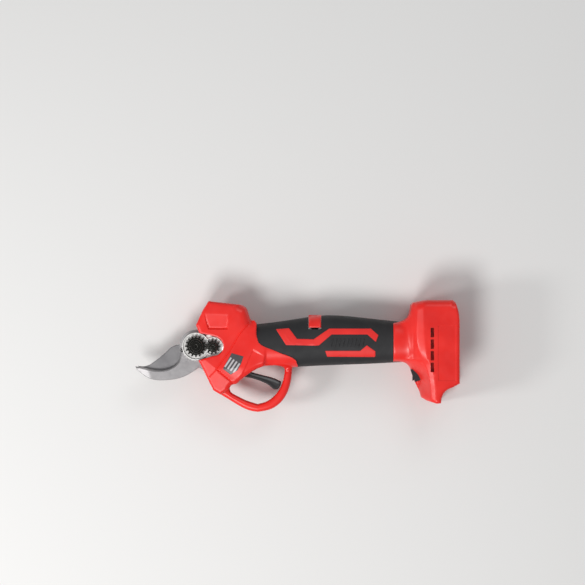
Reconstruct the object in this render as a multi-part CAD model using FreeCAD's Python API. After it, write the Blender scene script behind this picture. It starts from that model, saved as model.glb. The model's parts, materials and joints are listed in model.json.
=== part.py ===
import FreeCAD, Part
import math
import os

# Battery electric pruner, lying on its right side. Millimetres.
# While it is modelled, the origin is the blade pivot at the seam of the housing: +X runs back along
# the drive train to the battery foot, +Y is up towards the thumb button, +Z is out of the left side.
# Every node is then moved so that the tool lies on z = 0 with its box centred on the origin.

# ---- driving dimensions -------------------------------------------------------------------------

# Half thicknesses, measured from the seam of the housing
HEAD_HALF = 20.5
NOSE_HALF = 17.0
GUARD_HALF = 7.5
GRIP_HALF = 19.5
GRIP_ROUNDING = 9.0
FOOT_HALF = 32.0
WALL = 2.4
SEAM_GAP = 0.1
CHORD = 4.0

# Blade stack, as heights on the pivot axis
BLADE_BOTTOM = -4.5
HOOK_BOTTOM = 0.1
HOOK_TOP = 6.0
PLATE_TOP = 10.0
SECTOR_BOTTOM = -10.4
SECTOR_TOP = -4.7
WASHER_BOTTOM = -11.0
REAR_BOTTOM = -14.5
EYE_R = 16.5
BUSH_R = 8.0
BOLT_R = 5.0
RUNNING_GAP = 0.05

# Drive pins that carry the bevel sector's torque into the moving blade
DRIVE_PIN_R = 2.4
DRIVE_PIN_CIRCLE = 12.4
DRIVE_PIN_ANGLES = (40.0, 160.0)

# Bevel set: pinion on the X axis, sector round the pivot, both cones meet at the origin
BEVEL_MODULE = 1.0
PINION_TEETH = 12
SECTOR_TEETH_FULL = 48
PINION_FRONT = 18.2
PINION_BACK = 24.0
SECTOR_FIRST_TOOTH = -1
SECTOR_LAST_TOOTH = 7
SHAFT_R = 4.0

# Planetary stage
PLANET_MODULE = 0.55
SUN_TEETH = 12
PLANET_TEETH = 15
RING_TEETH = 42
PLANET_COUNT = 3
PLANET_PIN_R = 1.25
GEARBOX_R = 14.2
NOSE_START = 26.0
RING_START = 38.0
RING_END = 50.0
COVER_END = 53.0

# Motor
MOTOR_R = 14.0
MOTOR_START = 53.0
MOTOR_END = 98.0
MOTOR_SHAFT_R = 1.5
ROTOR_R = 6.0
MAGNET_R = 7.0
STATOR_BORE = 7.6
STATOR_POLES = 6

# Nose gears that lock the pivot nut
NUT_TEETH = 16
NUT_MODULE = 1.25
LOCK_TEETH = 11
LOCK_X = 16.9
LOCK_Y = -0.3

# Trigger
TRIGGER_PIVOT = (44.0, -27.5)
TRIGGER_HALF = 5.0
TRIGGER_PIN_R = 1.5

# Coil springs: wire radius, coil radius, pitch, length
TRIGGER_SPRING = (0.4, 3.2, 1.0, 3.0)
BUTTON_SPRING = (0.45, 3.85, 2.5, 7.5)

# Thumb button
BUTTON_X = (112.5, 124.8)
BUTTON_LOW = 18.7
BUTTON_TOP = 31.2
BUTTON_HALF = 19.0
BUTTON_SIDE_WALL = 4.0
BUTTON_TRAVEL = 1.6
BUTTON_GAP = 0.4

# Battery foot
RAIL_START = 249.0
FOOT_END = 262.3
CHANNEL_HALF = 27.5
LIP_HALF = 22.0
LIP_START = 259.0
CHANNEL_CLOSED_END = 36.0
VENT_X = (233.3, 236.8)
VENT_TOP = 18.7
VENT_LENGTH = 9.5
VENT_STEP = 11.5
VENT_COUNT = 4
PANEL_X = (240.8, 258.4)
PANEL_Y = (-33.8, 21.2)
PANEL_DEPTH = 0.5
CONTACT_PLACES = (-11.0, -3.7, 3.7, 11.0)
CONTACT_HALF = 0.4

# Power rocker, on the front slope of the foot
SWITCH_CENTRE = (217.4, -29.2)
SWITCH_TILT = -69.4
SWITCH_LENGTH = 13.0
SWITCH_HALF = 7.0
ROCKER_PIVOT = (0.0, 1.2)
ROCKER_PIN_R = 0.9

# Electronics
BOARD_X = (128.0, 192.0)
BOARD_Y = (-5.5, 12.5)
BOARD_Z = (-0.8, 0.8)
LEAD_Z = -2.4

# ---- outlines in the XY plane -------------------------------------------------------------------
# Each outline is a list of runs. Two points make a straight run, more make a smooth curve.

NOSE_CUT_OUT = [
    [(2.3, -13.8), (16.8, -9.5)],
    [(16.8, -9.5), (23.0, -7.7), (26.6, -3.8), (27.4, 0.4), (25.6, 5.4), (20.8, 9.2)],
    [(20.8, 9.2), (13.8, 11.2)],
    [(13.8, 11.2), (3.3, 13.2)],
]
HUMP = [
    [(3.3, 13.2), (-0.2, 21.2)],
    [(-0.2, 21.2), (6.8, 36.2)],
    [(6.8, 36.2), (12.6, 45.2)],
    [(12.6, 45.2), (45.0, 41.4)],
    [(45.0, 41.4), (49.8, 38.6), (52.4, 32.6), (54.9, 26.0)],
    [(54.9, 26.0), (58.4, 25.7)],
    [(58.4, 25.7), (60.0, 23.6), (60.5, 16.2), (61.2, 9.2)],
]
GRIP_BORDER = [
    [(61.2, 9.2), (62.6, 4.4), (66.4, 1.0), (73.8, -2.2)],
    [(73.8, -2.2), (94.0, -10.3)],
    [(94.0, -10.3), (98.3, -12.6), (100.6, -16.0), (101.7, -20.6)],
]
LOOP_CEILING = [
    [(101.7, -20.6), (88.3, -21.6)],
    [(88.3, -21.6), (84.0, -19.7), (75.8, -19.1), (66.0, -20.3), (55.8, -25.3), (43.8, -34.3)],
    [(43.8, -34.3), (39.6, -37.6), (36.0, -38.4), (33.5, -42.0)],
]
LOWER_NOSE = [
    [(33.5, -42.0), (24.4, -48.1)],
    [(24.4, -48.1), (17.3, -43.8)],
    [(17.3, -43.8), (11.6, -32.3), (7.6, -23.8), (2.3, -13.8)],
]
PLATEAU_EDGE = [
    [(33.5, -39.5), (20.3, -22.3)],
    [(20.3, -22.3), (33.8, -3.8)],
    [(33.8, -3.8), (43.8, 13.2)],
    [(43.8, 13.2), (52.6, 25.0)],
    [(52.6, 25.0), (58.4, 24.4)],
    [(58.4, 24.4), (60.0, 22.4), (60.5, 16.2), (61.2, 9.2)],
]
GUARD_OUTER = [
    [(96.3, -19.0), (95.4, -29.8), (90.9, -46.8), (84.8, -55.8), (76.8, -61.8), (61.8, -65.6)],
    [(61.8, -65.6), (53.8, -64.2), (43.8, -59.8), (33.8, -53.8), (17.3, -43.8)],
    [(17.3, -43.8), (30.0, -34.0)],
    [(30.0, -34.0), (96.3, -19.0)],
]
GUARD_INNER = [
    [(75.8, -19.1), (66.0, -20.3), (55.8, -25.3), (43.8, -34.3)],
    [(43.8, -34.3), (39.6, -37.6), (36.0, -38.4), (33.5, -42.0)],
    [(33.5, -42.0), (34.6, -45.6), (38.8, -48.6), (48.8, -53.6), (61.4, -57.8)],
    [(61.4, -57.8), (68.8, -55.8), (78.8, -48.8), (85.3, -38.8), (88.3, -26.8)],
    [(88.3, -26.8), (88.2, -22.4), (84.4, -19.9), (75.8, -19.1)],
]
GRIP = [
    [(60.0, 22.0), (78.8, 24.2), (103.8, 27.9), (128.8, 30.8), (163.8, 28.8), (212.0, 23.6)],
    [(212.0, 23.6), (212.0, -15.4)],
    [(212.0, -15.4), (175.8, -17.4), (128.8, -19.2), (101.7, -20.6)],
    [(101.7, -20.6), (100.6, -16.0), (98.3, -12.6), (94.0, -10.3)],
    [(94.0, -10.3), (73.8, -2.2)],
    [(73.8, -2.2), (66.4, 1.0), (62.6, 4.4), (61.2, 9.2)],
    [(61.2, 9.2), (60.5, 16.2), (60.0, 22.0)],
]
UPPER_STRIPE = [
    [(79.8, 17.2), (92.8, 18.2)],
    [(92.8, 18.2), (100.8, 7.7)],
    [(100.8, 7.7), (117.3, 7.2)],
    [(117.3, 7.2), (133.0, 17.9)],
    [(133.0, 17.9), (174.3, 17.9)],
    [(174.3, 17.9), (181.8, 11.2)],
    [(181.8, 11.2), (179.3, 4.5)],
    [(179.3, 4.5), (170.8, 11.9)],
    [(170.8, 11.9), (135.3, 11.9)],
    [(135.3, 11.9), (122.8, 1.2)],
    [(122.8, 1.2), (118.8, 0.7)],
    [(118.8, 0.7), (89.8, 1.4)],
    [(89.8, 1.4), (79.8, 17.2)],
]
LOWER_STRIPE = [
    [(128.8, -4.3), (163.8, -4.3)],
    [(163.8, -4.3), (170.3, 1.2)],
    [(170.3, 1.2), (178.8, -4.8)],
    [(178.8, -4.8), (178.8, -9.8)],
    [(178.8, -9.8), (177.8, -10.6)],
    [(177.8, -10.6), (130.8, -10.3)],
    [(130.8, -10.3), (128.8, -4.3)],
]
FOOT = [
    [(196.8, 23.2), (203.8, 24.7), (208.8, 26.9), (211.8, 30.4), (214.6, 41.2)],
    [(214.6, 41.2), (217.0, 43.8)],
    [(217.0, 43.8), (228.8, 46.2)],
    [(228.8, 46.2), (255.8, 46.2)],
    [(255.8, 46.2), (258.0, 44.0)],
    [(258.0, 44.0), (260.9, 36.0), (262.3, 26.0)],
    [(262.3, 26.0), (262.3, -36.8)],
    [(262.3, -36.8), (255.8, -40.3)],
    [(255.8, -40.3), (248.4, -44.2), (245.0, -49.4), (243.8, -56.3)],
    [(243.8, -56.3), (239.8, -56.8)],
    [(239.8, -56.8), (229.8, -53.8)],
    [(229.8, -53.8), (224.8, -50.8)],
    [(224.8, -50.8), (223.3, -45.8), (217.8, -33.8), (214.8, -23.8)],
    [(214.8, -23.8), (211.8, -18.8), (207.8, -16.2), (196.8, -15.3)],
    [(196.8, -15.3), (196.8, 23.2)],
]
HOOK_JAW = [
    [(10.0, -8.0), (25.4, -11.0)],
    [(25.4, -11.0), (25.6, -14.9)],
    [(25.6, -14.9), (43.5, -14.9)],
    [(43.5, -14.9), (43.5, -21.5)],
    [(43.5, -21.5), (34.0, -25.5)],
    [(34.0, -25.5), (14.0, -26.0)],
    [(14.0, -26.0), (2.8, -21.3)],
    [(2.8, -21.3), (-11.2, -29.9), (-31.2, -33.9), (-45.7, -32.4), (-59.2, -23.3)],
    [(-59.2, -23.3), (-60.7, -20.1)],
    [(-60.7, -20.1), (-54.2, -20.8)],
    [(-54.2, -20.8), (-41.2, -23.8), (-28.0, -22.6), (-18.2, -15.8), (-15.2, -5.8)],
    [(-15.2, -5.8), (10.0, -8.0)],
]
BLADE = [
    [(-16.4, 1.6), (-21.2, 0.8), (-31.2, -6.8), (-46.2, -18.3)],
    [(-46.2, -18.3), (-51.2, -20.0), (-58.2, -19.6)],
    [(-58.2, -19.6), (-53.0, -24.6), (-40.0, -29.6), (-24.0, -29.4), (-8.0, -22.6), (2.0, -16.4)],
    [(2.0, -16.4), (4.0, -4.0)],
    [(4.0, -4.0), (-16.4, 1.6)],
]
NOSE_PLATE_LOBES = (((0.0, 0.0), 13.8), ((17.4, 0.0), 9.4))
CASTING_ARM = [
    [(8.0, -9.0), (24.0, -28.0)],
    [(24.0, -28.0), (44.0, -21.0)],
    [(44.0, -21.0), (44.0, 20.0)],
    [(44.0, 20.0), (26.0, 24.0)],
    [(26.0, 24.0), (8.0, 9.0)],
    [(8.0, 9.0), (8.0, -9.0)],
]
TRIGGER = [
    [(40.5, -25.6), (44.0, -23.9), (48.4, -24.6)],
    [(48.4, -24.6), (52.6, -20.4)],
    [(52.6, -20.4), (56.0, -22.6)],
    [(56.0, -22.6), (55.4, -26.0)],
    [(55.4, -26.0), (67.8, -29.2), (78.8, -32.4), (85.0, -35.3)],
    [(85.0, -35.3), (84.4, -38.4), (82.0, -42.6)],
    [(82.0, -42.6), (78.4, -43.1), (73.8, -39.8), (65.8, -35.4), (48.8, -30.9), (42.0, -31.0)],
    [(42.0, -31.0), (39.8, -28.6), (40.5, -25.6)],
]
HEAD = NOSE_CUT_OUT + HUMP + GRIP_BORDER + LOOP_CEILING + LOWER_NOSE
PLATEAU = PLATEAU_EDGE + GRIP_BORDER + LOOP_CEILING[:2] + [[(43.8, -34.3), (33.5, -39.5)]]
LABEL = [
    [(35.8, -6.5), (47.6, -9.9)],
    [(47.6, -9.9), (45.3, -16.8)],
    [(45.3, -16.8), (41.8, -23.6)],
    [(41.8, -23.6), (34.8, -28.1)],
    [(34.8, -28.1), (27.0, -22.3)],
    [(27.0, -22.3), (35.8, -6.5)],
]

HOUSING_BOSSES = ((18.0, 36.5), (43.0, 33.5), (25.0, -40.0))
GRIP_BOSSES = ((104.0, 19.0), (142.0, 20.0), (188.0, 16.0), (188.0, -10.0), (122.0, -12.0))
FOOT_BOSSES = ((228.0, 39.6), (244.0, 39.6), (234.0, -46.6))
BOSS_R = 2.9
SCREW_R = 1.3
SCREW_HEAD_R = 2.6
SCREW_TIP = 8.0
HEAD_SINK = 4.0


# ---- small tools --------------------------------------------------------------------------------

def vec(x, y, z=0.0):
    return FreeCAD.Vector(x, y, z)


def polar(radius, degrees):
    angle = math.radians(degrees)
    return (radius * math.cos(angle), radius * math.sin(angle))


def face(runs):
    """A flat face in the XY plane whose edge follows the runs."""
    edges = []
    for run in runs:
        points = [vec(x, y) for x, y in run]
        if len(points) == 2:
            edges.append(Part.makeLine(points[0], points[1]))
        else:
            curve = Part.BSplineCurve()
            curve.interpolate(points)
            edges.append(curve.toShape())
    return Part.Face(Part.Wire(Part.__sortEdges__(edges)))


def plate(runs, low, high):
    """The outline's solid between two heights."""
    flat = face(runs)
    flat.translate(vec(0, 0, low))
    return flat.extrude(vec(0, 0, high - low))


def corner_points(runs):
    """Points along the outline in order, with the smooth runs cut into chords."""
    points = []
    for run in runs:
        if len(run) == 2:
            points.append(vec(*run[0]))
        else:
            curve = Part.BSplineCurve()
            curve.interpolate([vec(x, y) for x, y in run])
            chords = max(2, round(curve.length() / CHORD))
            points += curve.discretize(Number=chords + 1)[:-1]
    return points


def drawn_in(points, distance):
    """The polygon with every side moved inwards by one distance."""
    count = len(points)
    area = sum(points[i - 1].x * points[i].y - points[i].x * points[i - 1].y for i in range(count))
    inward = 1 if area > 0 else -1
    moved = []
    for index in range(count):
        here = points[index]
        before = (here - points[index - 1]).normalize()
        after = (points[(index + 1) % count] - here).normalize()
        normal_before = vec(-before.y, before.x) * inward
        normal_after = vec(-after.y, after.x) * inward
        middle = (normal_before + normal_after).normalize()
        moved.append(here + middle * (distance / middle.dot(normal_before)))
    return moved


def raised(points, height):
    lifted = [vec(point.x, point.y, height) for point in points]
    return Part.makePolygon(lifted + lifted[:1])


def inner_plate(runs, low, high, inset):
    """The solid of the outline drawn in by a wall thickness."""
    return Part.Face(raised(drawn_in(corner_points(runs), inset), low)).extrude(vec(0, 0, high - low))


def bevelled(runs, low, high, bevel_in, bevel_down):
    """The outline's solid with a bevel all round its upper edge."""
    points = corner_points(runs)
    base = Part.Face(raised(points, low)).extrude(vec(0, 0, high - bevel_down - low))
    lower = raised(points, high - bevel_down)
    upper = raised(drawn_in(points, bevel_in), high)
    return base.fuse(Part.makeLoft([lower, upper], True, True)).removeSplitter()


def block(x, y, z):
    """A box from three (low, high) pairs."""
    return Part.makeBox(x[1] - x[0], y[1] - y[0], z[1] - z[0], vec(x[0], y[0], z[0]))


def post(radius, centre, low, high):
    """A cylinder along Z."""
    return Part.makeCylinder(radius, high - low, vec(centre[0], centre[1], low))


def shaft(radius, start, end, centre=(0.0, 0.0)):
    """A cylinder along X, with its centre given in Y and Z."""
    return Part.makeCylinder(radius, end - start, vec(start, centre[0], centre[1]), vec(1, 0, 0))


def tube(outer, inner, start, end, centre=(0.0, 0.0)):
    return shaft(outer, start, end, centre).cut(shaft(inner, start, end, centre))


def washer(outer, inner, centre, low, high):
    return post(outer, centre, low, high).cut(post(inner, centre, low, high))


def fused(shapes):
    whole = shapes[0]
    if len(shapes) > 1:
        whole = whole.fuse(shapes[1:])
    return whole.removeSplitter()


def largest_solid(shape):
    return max(shape.Solids, key=lambda solid: solid.Volume)


def mirrored(shape):
    """The same piece for the other side of the seam."""
    return shape.mirror(vec(0, 0, 0), vec(0, 0, 1))


def edges_at_height(shape, height, longer_than=0.0):
    """Edges that lie flat at one height."""
    found = []
    for edge in shape.Edges:
        box = edge.BoundBox
        if abs(box.ZMin - height) < 1e-4 and abs(box.ZMax - height) < 1e-4:
            if edge.Length > longer_than:
                found.append(edge)
    return found


def turned(shape, degrees, axis=(0, 0, 1)):
    copy = shape.copy()
    copy.rotate(vec(0, 0, 0), vec(*axis), degrees)
    return copy


def stood_along_x(shape):
    """Turns a piece drawn along +Z so that it runs along +X and its own +X becomes +Y."""
    copy = shape.copy()
    copy.rotate(vec(0, 0, 0), vec(1, 1, 1), 120)
    return copy


def involute(angle):
    return math.tan(angle) - angle


def gear_points(teeth, module, addendum, dedendum, thinning):
    """Corner points of a spur gear with involute flanks; a tooth is centred on +X."""
    pressure = math.radians(20.0)
    pitch_r = teeth * module / 2
    base_r = pitch_r * math.cos(pressure)
    root_r = pitch_r - dedendum
    tip_r = pitch_r + addendum
    half = math.pi / (2 * teeth) - thinning / (2 * pitch_r)
    flank = []
    for step in range(4):
        radius = max(base_r, root_r) + (tip_r - max(base_r, root_r)) * step / 3
        lean = involute(pressure) - involute(math.acos(min(1.0, base_r / radius)))
        flank.append((radius, half + lean))
    if root_r < base_r:
        flank.insert(0, (root_r, flank[0][1]))
    points = []
    for tooth in range(teeth):
        centre = 2 * math.pi * tooth / teeth
        for radius, away in flank:
            points.append((radius * math.cos(centre - away), radius * math.sin(centre - away)))
        for radius, away in reversed(flank):
            points.append((radius * math.cos(centre + away), radius * math.sin(centre + away)))
    return points


def polygon_wire(points, height=0.0, scale=1.0):
    corners = [vec(x * scale, y * scale, height) for x, y in points]
    return Part.makePolygon(corners + corners[:1])


def spur_gear(teeth, module, low, high, thinning, addendum=0.85, dedendum=1.15):
    points = gear_points(teeth, module, addendum * module, dedendum * module, thinning)
    return Part.Face(polygon_wire(points, low)).extrude(vec(0, 0, high - low))


def with_bosses(shell, outer, places, top, side):
    """Screw bosses: blind holes on the left side, counterbored through holes on the right side."""
    bosses = [post(BOSS_R, place, 0, top - 0.6).common(outer) for place in places]
    shell = fused([shell] + bosses)
    for place in places:
        if side > 0:
            shell = shell.cut(post(SCREW_R, place, -1, SCREW_TIP + 1))
        else:
            shell = shell.cut(post(SCREW_R, place, -1, top + 1))
            shell = shell.cut(post(SCREW_HEAD_R + 0.1, place, top - HEAD_SINK, top + 1))
    return shell


def case_screws(places, top):
    """Pan-head screws driven from the right side, their heads sunk below its surface."""
    screws = []
    for place in places:
        seat = HEAD_SINK - top
        head = post(SCREW_HEAD_R, place, seat - 1.8, seat)
        socket = post(1.2, place, seat - 1.9, seat - 0.7)
        body = post(SCREW_R - 0.05, place, seat, SCREW_TIP)
        screws.append(fused([head.cut(socket), body]))
    return screws


# ---- housing ------------------------------------------------------------------------------------

def head_outer():
    """The left head shell as a full solid: nose level, raised plateau and half of the guard."""
    body = bevelled(HEAD, 0, NOSE_HALF, 1.0, 2.0)
    plateau = bevelled(PLATEAU, 0, HEAD_HALF, 1.5, 3.0)
    guard = plate(GUARD_OUTER, 0, GUARD_HALF).cut(plate(GUARD_INNER, -1, GUARD_HALF + 1))
    return fused([body, plateau, guard])


def works_space():
    """Room inside the head for the blades, the bevel set, the casting, the gearbox and the trigger."""
    nose_room = inner_plate(HEAD, WALL - NOSE_HALF, NOSE_HALF - WALL, WALL)
    plateau_room = inner_plate(PLATEAU, WALL - HEAD_HALF, HEAD_HALF - WALL, WALL)
    gear_room = shaft(GEARBOX_R + 0.4, 24, 106)
    stack = fused([
        post(EYE_R + 0.6, (0, 0), BLADE_BOTTOM - 0.4, PLATE_TOP + 2),
        lobes(REAR_BOTTOM - 0.1, PLATE_TOP, 0.4),
    ])
    sector = post(26.4, (0, 0), SECTOR_BOTTOM - 0.6, SECTOR_TOP + 1)
    jaw_slot = block((-2, 14), (-26.6, -10), (BLADE_BOTTOM - 0.4, HOOK_TOP + 0.4))
    plates = plate(CASTING_ARM, REAR_BOTTOM - 0.1, PLATE_TOP + 2.8)
    trigger_room = block((38, 62), (-34, -16), (-TRIGGER_HALF - 0.5, TRIGGER_HALF + 0.5))
    return fused([nose_room, plateau_room, gear_room, stack, sector, jaw_slot, plates, trigger_room])


def housing(side):
    outer = head_outer()
    room = works_space()
    if side < 0:
        room = mirrored(room)
    shell = with_bosses(outer.cut(room), outer, HOUSING_BOSSES, NOSE_HALF, side)
    shell = shell.cut(block((-70, 300), (-80, 60), (-1, SEAM_GAP / 2)))
    shell = largest_solid(shell)
    if side < 0:
        shell = mirrored(shell)
    return shell


def label_plate():
    return plate(LABEL, HEAD_HALF, HEAD_HALF + 0.4)


def grip_outer():
    body = plate(GRIP, 0, GRIP_HALF)
    return body.makeFillet(GRIP_ROUNDING, edges_at_height(body, GRIP_HALF, 60.0))


def grip(side):
    shell = grip_outer().cut(inner_plate(GRIP, -1, GRIP_HALF - WALL, WALL))
    shell = shell.cut(shaft(GEARBOX_R + 0.4, 24, 106)).cut(head_outer())
    shell = shell.cut(block((205, 215), (-11, 17), (-1, 13)))
    shell = with_bosses(shell, grip_outer(), GRIP_BOSSES, GRIP_HALF, side)
    window = block((BUTTON_X[0] - BUTTON_GAP, BUTTON_X[1] + BUTTON_GAP),
                   (BUTTON_LOW - BUTTON_TRAVEL - 0.2, 40), (-1, GRIP_HALF + 1))
    shell = shell.cut(window).cut(stripes_flat(0.0))
    shell = shell.cut(block((-70, 300), (-80, 60), (-1, SEAM_GAP / 2)))
    if side < 0:
        shell = mirrored(shell)
    return shell


def stripes_flat(proud):
    """The red inlays, sunk 0.8 mm into the side of the grip."""
    shapes = []
    for runs in (UPPER_STRIPE, LOWER_STRIPE):
        shapes.append(plate(runs, GRIP_HALF - 0.8, GRIP_HALF + proud))
    return Part.makeCompound(shapes)


def grip_stripes(side):
    shape = stripes_flat(0.35)
    if side < 0:
        shape = mirrored(shape)
    return shape


def foot_outer():
    body = bevelled(FOOT, 0, FOOT_HALF, 2.5, 3.0)
    slope = Part.Face(Part.makePolygon([
        vec(180, -90, 20.9), vec(203, -90, 20.9), vec(222.5, -90, FOOT_HALF + 0.02),
        vec(222.5, -90, 60), vec(180, -90, 60), vec(180, -90, 20.9),
    ])).extrude(vec(0, 180, 0))
    return body.cut(slope)


def foot(side):
    body = foot_outer()
    hollow = inner_plate(FOOT, -1, 18.0, WALL)
    deep = block((224, 246), (-40, 42), (-1, FOOT_HALF - WALL))
    channel = block((RAIL_START, LIP_START), (-80, CHANNEL_CLOSED_END), (-1, CHANNEL_HALF))
    mouth = block((LIP_START - 1, FOOT_END + 1), (-80, CHANNEL_CLOSED_END), (-1, LIP_HALF))
    shell = body.cut(fused([hollow, deep]))
    deck = block((RAIL_START - 3, RAIL_START), (-44, CHANNEL_CLOSED_END), (0, FOOT_HALF - 1.5))
    shell = fused([shell, deck]).cut(fused([channel, mouth]))
    shell = shell.cut(block((245, 250), (-12.2, 14.2), (-1, 19.2))).cut(grip_outer())
    for index in range(VENT_COUNT):
        top = VENT_TOP - VENT_STEP * index
        shell = shell.cut(block(VENT_X, (top - VENT_LENGTH, top), (20, 40)))
    shell = shell.cut(block(PANEL_X, PANEL_Y, (FOOT_HALF - PANEL_DEPTH, 40)))
    shell = with_bosses(shell, body, FOOT_BOSSES, FOOT_HALF, side)
    shell = shell.cut(switch_pocket())
    shell = shell.cut(block((-70, 300), (-80, 60), (-1, SEAM_GAP / 2)))
    if side < 0:
        shell = mirrored(shell)
    return shell


# ---- power rocker, on the front slope of the foot -----------------------------------------------

def on_slope(shape):
    """Moves a piece drawn round the origin, with its outside towards -Y, onto the foot's slope."""
    copy = shape.copy()
    copy.rotate(vec(0, 0, 0), vec(0, 0, 1), SWITCH_TILT)
    copy.translate(vec(*SWITCH_CENTRE))
    return copy


def switch_pocket():
    half = SWITCH_LENGTH / 2 + 0.2
    return on_slope(block((-half, half), (-4, 9), (-SWITCH_HALF - 0.2, SWITCH_HALF + 0.2)))


def rocker_frame():
    half = SWITCH_LENGTH / 2
    body = block((-half, half), (-1.0, 8.0), (-SWITCH_HALF, SWITCH_HALF))
    inside = block((-half + 1.2, half - 1.2), (-2.0, 6.6), (-SWITCH_HALF + 1.2, SWITCH_HALF - 1.2))
    bearing = post(ROCKER_PIN_R + RUNNING_GAP, ROCKER_PIVOT, -SWITCH_HALF - 1, SWITCH_HALF + 1)
    return on_slope(body.cut(inside).cut(bearing))


def power_rocker():
    """A see-saw cap on a cross pin: two flats that meet in a shallow valley, one end standing proud."""
    half = SWITCH_LENGTH / 2 - 2.0
    width = SWITCH_HALF - 1.5
    cap = Part.Face(Part.makePolygon([
        vec(-half, -0.6, -width), vec(0, -1.2, -width), vec(half, -3.0, -width),
        vec(half - 0.4, 1.2, -width), vec(1.4, 3.2, -width), vec(-1.4, 3.2, -width),
        vec(-half + 0.4, 1.2, -width), vec(-half, -0.6, -width),
    ])).extrude(vec(0, 0, 2 * width))
    pin = post(ROCKER_PIN_R, ROCKER_PIVOT, -SWITCH_HALF + 0.3, SWITCH_HALF - 0.3)
    return on_slope(fused([cap, pin]))


# ---- head frame, blades and pivot ---------------------------------------------------------------

def lobes(low, high, grow=0.0):
    return fused([post(radius + grow, centre, low, high) for centre, radius in NOSE_PLATE_LOBES])


def lock_place():
    return (LOCK_X, LOCK_Y)


def pinion_room():
    """Cone round the bevel pinion with room for its tips."""
    return Part.makeCone(5.6, 7.9, 9.4, vec(16.6, 0, 0), vec(1, 0, 0))


def frame_posts():
    return ((32.0, 18.0), (28.0, -20.4))


def hook_screw_places():
    return ((16.0, -19.0), (39.4, -18.5))


def head_casting():
    arm = plate(CASTING_ARM, HOOK_TOP + 0.05, PLATE_TOP)
    nose = lobes(HOOK_TOP + 0.05, PLATE_TOP)
    rim = lobes(PLATE_TOP, PLATE_TOP + 1.6).cut(lobes(PLATE_TOP - 1, PLATE_TOP + 3, -1.1))
    casting = fused([arm, nose, rim])
    casting = casting.cut(post(BUSH_R + 0.02, (0, 0), 0, 8.4))
    casting = casting.cut(post(BOLT_R + 0.05, (0, 0), 0, 30))
    casting = casting.cut(pinion_room())
    casting = casting.cut(shaft(GEARBOX_R + 0.05, NOSE_START, 60))
    casting = casting.cut(post(2.0, lock_place(), 0, 30))
    for place in frame_posts() + hook_screw_places():
        casting = casting.cut(post(2.05, place, 0, 30))
    return casting


def rear_plate():
    arm = plate(CASTING_ARM, REAR_BOTTOM, WASHER_BOTTOM)
    nose = lobes(REAR_BOTTOM, WASHER_BOTTOM)
    shape = fused([arm, nose])
    shape = shape.cut(post(BOLT_R + 0.05, (0, 0), -40, 30))
    shape = shape.cut(shaft(GEARBOX_R + 0.05, NOSE_START, 60))
    for place in frame_posts():
        shape = shape.cut(post(2.05, place, -40, 30))
    return shape


def frame_bolts():
    """Two shouldered bolts that hold the rear plate and the casting apart."""
    bolts = []
    for place in frame_posts():
        core = post(2.0, place, REAR_BOTTOM - 0.1, PLATE_TOP)
        spacer = post(3.4, place, WASHER_BOTTOM, HOOK_TOP + 0.05)
        head = post(3.6, place, PLATE_TOP, PLATE_TOP + 2.2)
        socket = post(1.6, place, PLATE_TOP + 0.8, PLATE_TOP + 3)
        bolts.append(fused([core, spacer, head]).cut(socket))
    return Part.makeCompound(bolts)


def counter_blade():
    eye = post(EYE_R, (0, 0), HOOK_BOTTOM, HOOK_TOP)
    jaw = plate(HOOK_JAW, HOOK_BOTTOM, HOOK_TOP)
    hook = fused([eye, jaw])
    hook = hook.cut(post(BUSH_R + 0.02, (0, 0), -5, 10))
    hook = hook.cut(pinion_room())
    hook = hook.cut(post(1.9, (-14.2, -3.6), 3.0, 10))
    for place in hook_screw_places():
        hook = hook.cut(post(2.0, place, -5, 10))
    for place in frame_posts():
        hook = hook.cut(post(3.7, place, -5, 10))
    return hook


def counter_blade_screws():
    screws = []
    for place in hook_screw_places():
        core = post(1.95, place, HOOK_BOTTOM, PLATE_TOP)
        head = post(3.6, place, PLATE_TOP, PLATE_TOP + 2.2)
        socket = post(1.6, place, PLATE_TOP + 0.8, PLATE_TOP + 3)
        screws.append(fused([core, head]).cut(socket))
    return Part.makeCompound(screws)


def drive_pin_places():
    return [polar(DRIVE_PIN_CIRCLE, angle) for angle in DRIVE_PIN_ANGLES]


def moving_blade():
    eye = post(EYE_R, (0, 0), BLADE_BOTTOM, 0)
    blade = fused([eye, plate(BLADE, BLADE_BOTTOM, 0)])
    blade = blade.cut(post(BUSH_R + RUNNING_GAP, (0, 0), -9, 9))
    for place in drive_pin_places():
        blade = blade.cut(post(DRIVE_PIN_R, place, -9, 9))
    return blade


def drive_pins():
    return Part.makeCompound([
        post(DRIVE_PIN_R, place, SECTOR_BOTTOM + 1.0, 0) for place in drive_pin_places()
    ])


def pivot_bush():
    return washer(BUSH_R, BOLT_R + 0.02, (0, 0), WASHER_BOTTOM, 8.4)


def pivot_bolt():
    core = post(BOLT_R, (0, 0), REAR_BOTTOM, 16.4)
    head = Part.Face(Part.makePolygon([
        vec(*polar(8.6, 60 * side), REAR_BOTTOM - 4.6) for side in range(7)
    ])).extrude(vec(0, 0, 4.6))
    end = post(BOLT_R - 1.4, (0, 0), 14.4, 17)
    return fused([core, head]).cut(end.common(post(1.9, (0, 0), 14.4, 17)))


def pivot_nut_gear():
    teeth = spur_gear(NUT_TEETH, NUT_MODULE, PLATE_TOP + 0.05, 14.0, 0.5, 0.7, 1.0)
    hub = post(6.9, (0, 0), 14.0, 15.0)
    return fused([teeth, hub]).cut(post(BOLT_R + 0.02, (0, 0), 0, 30))


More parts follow.
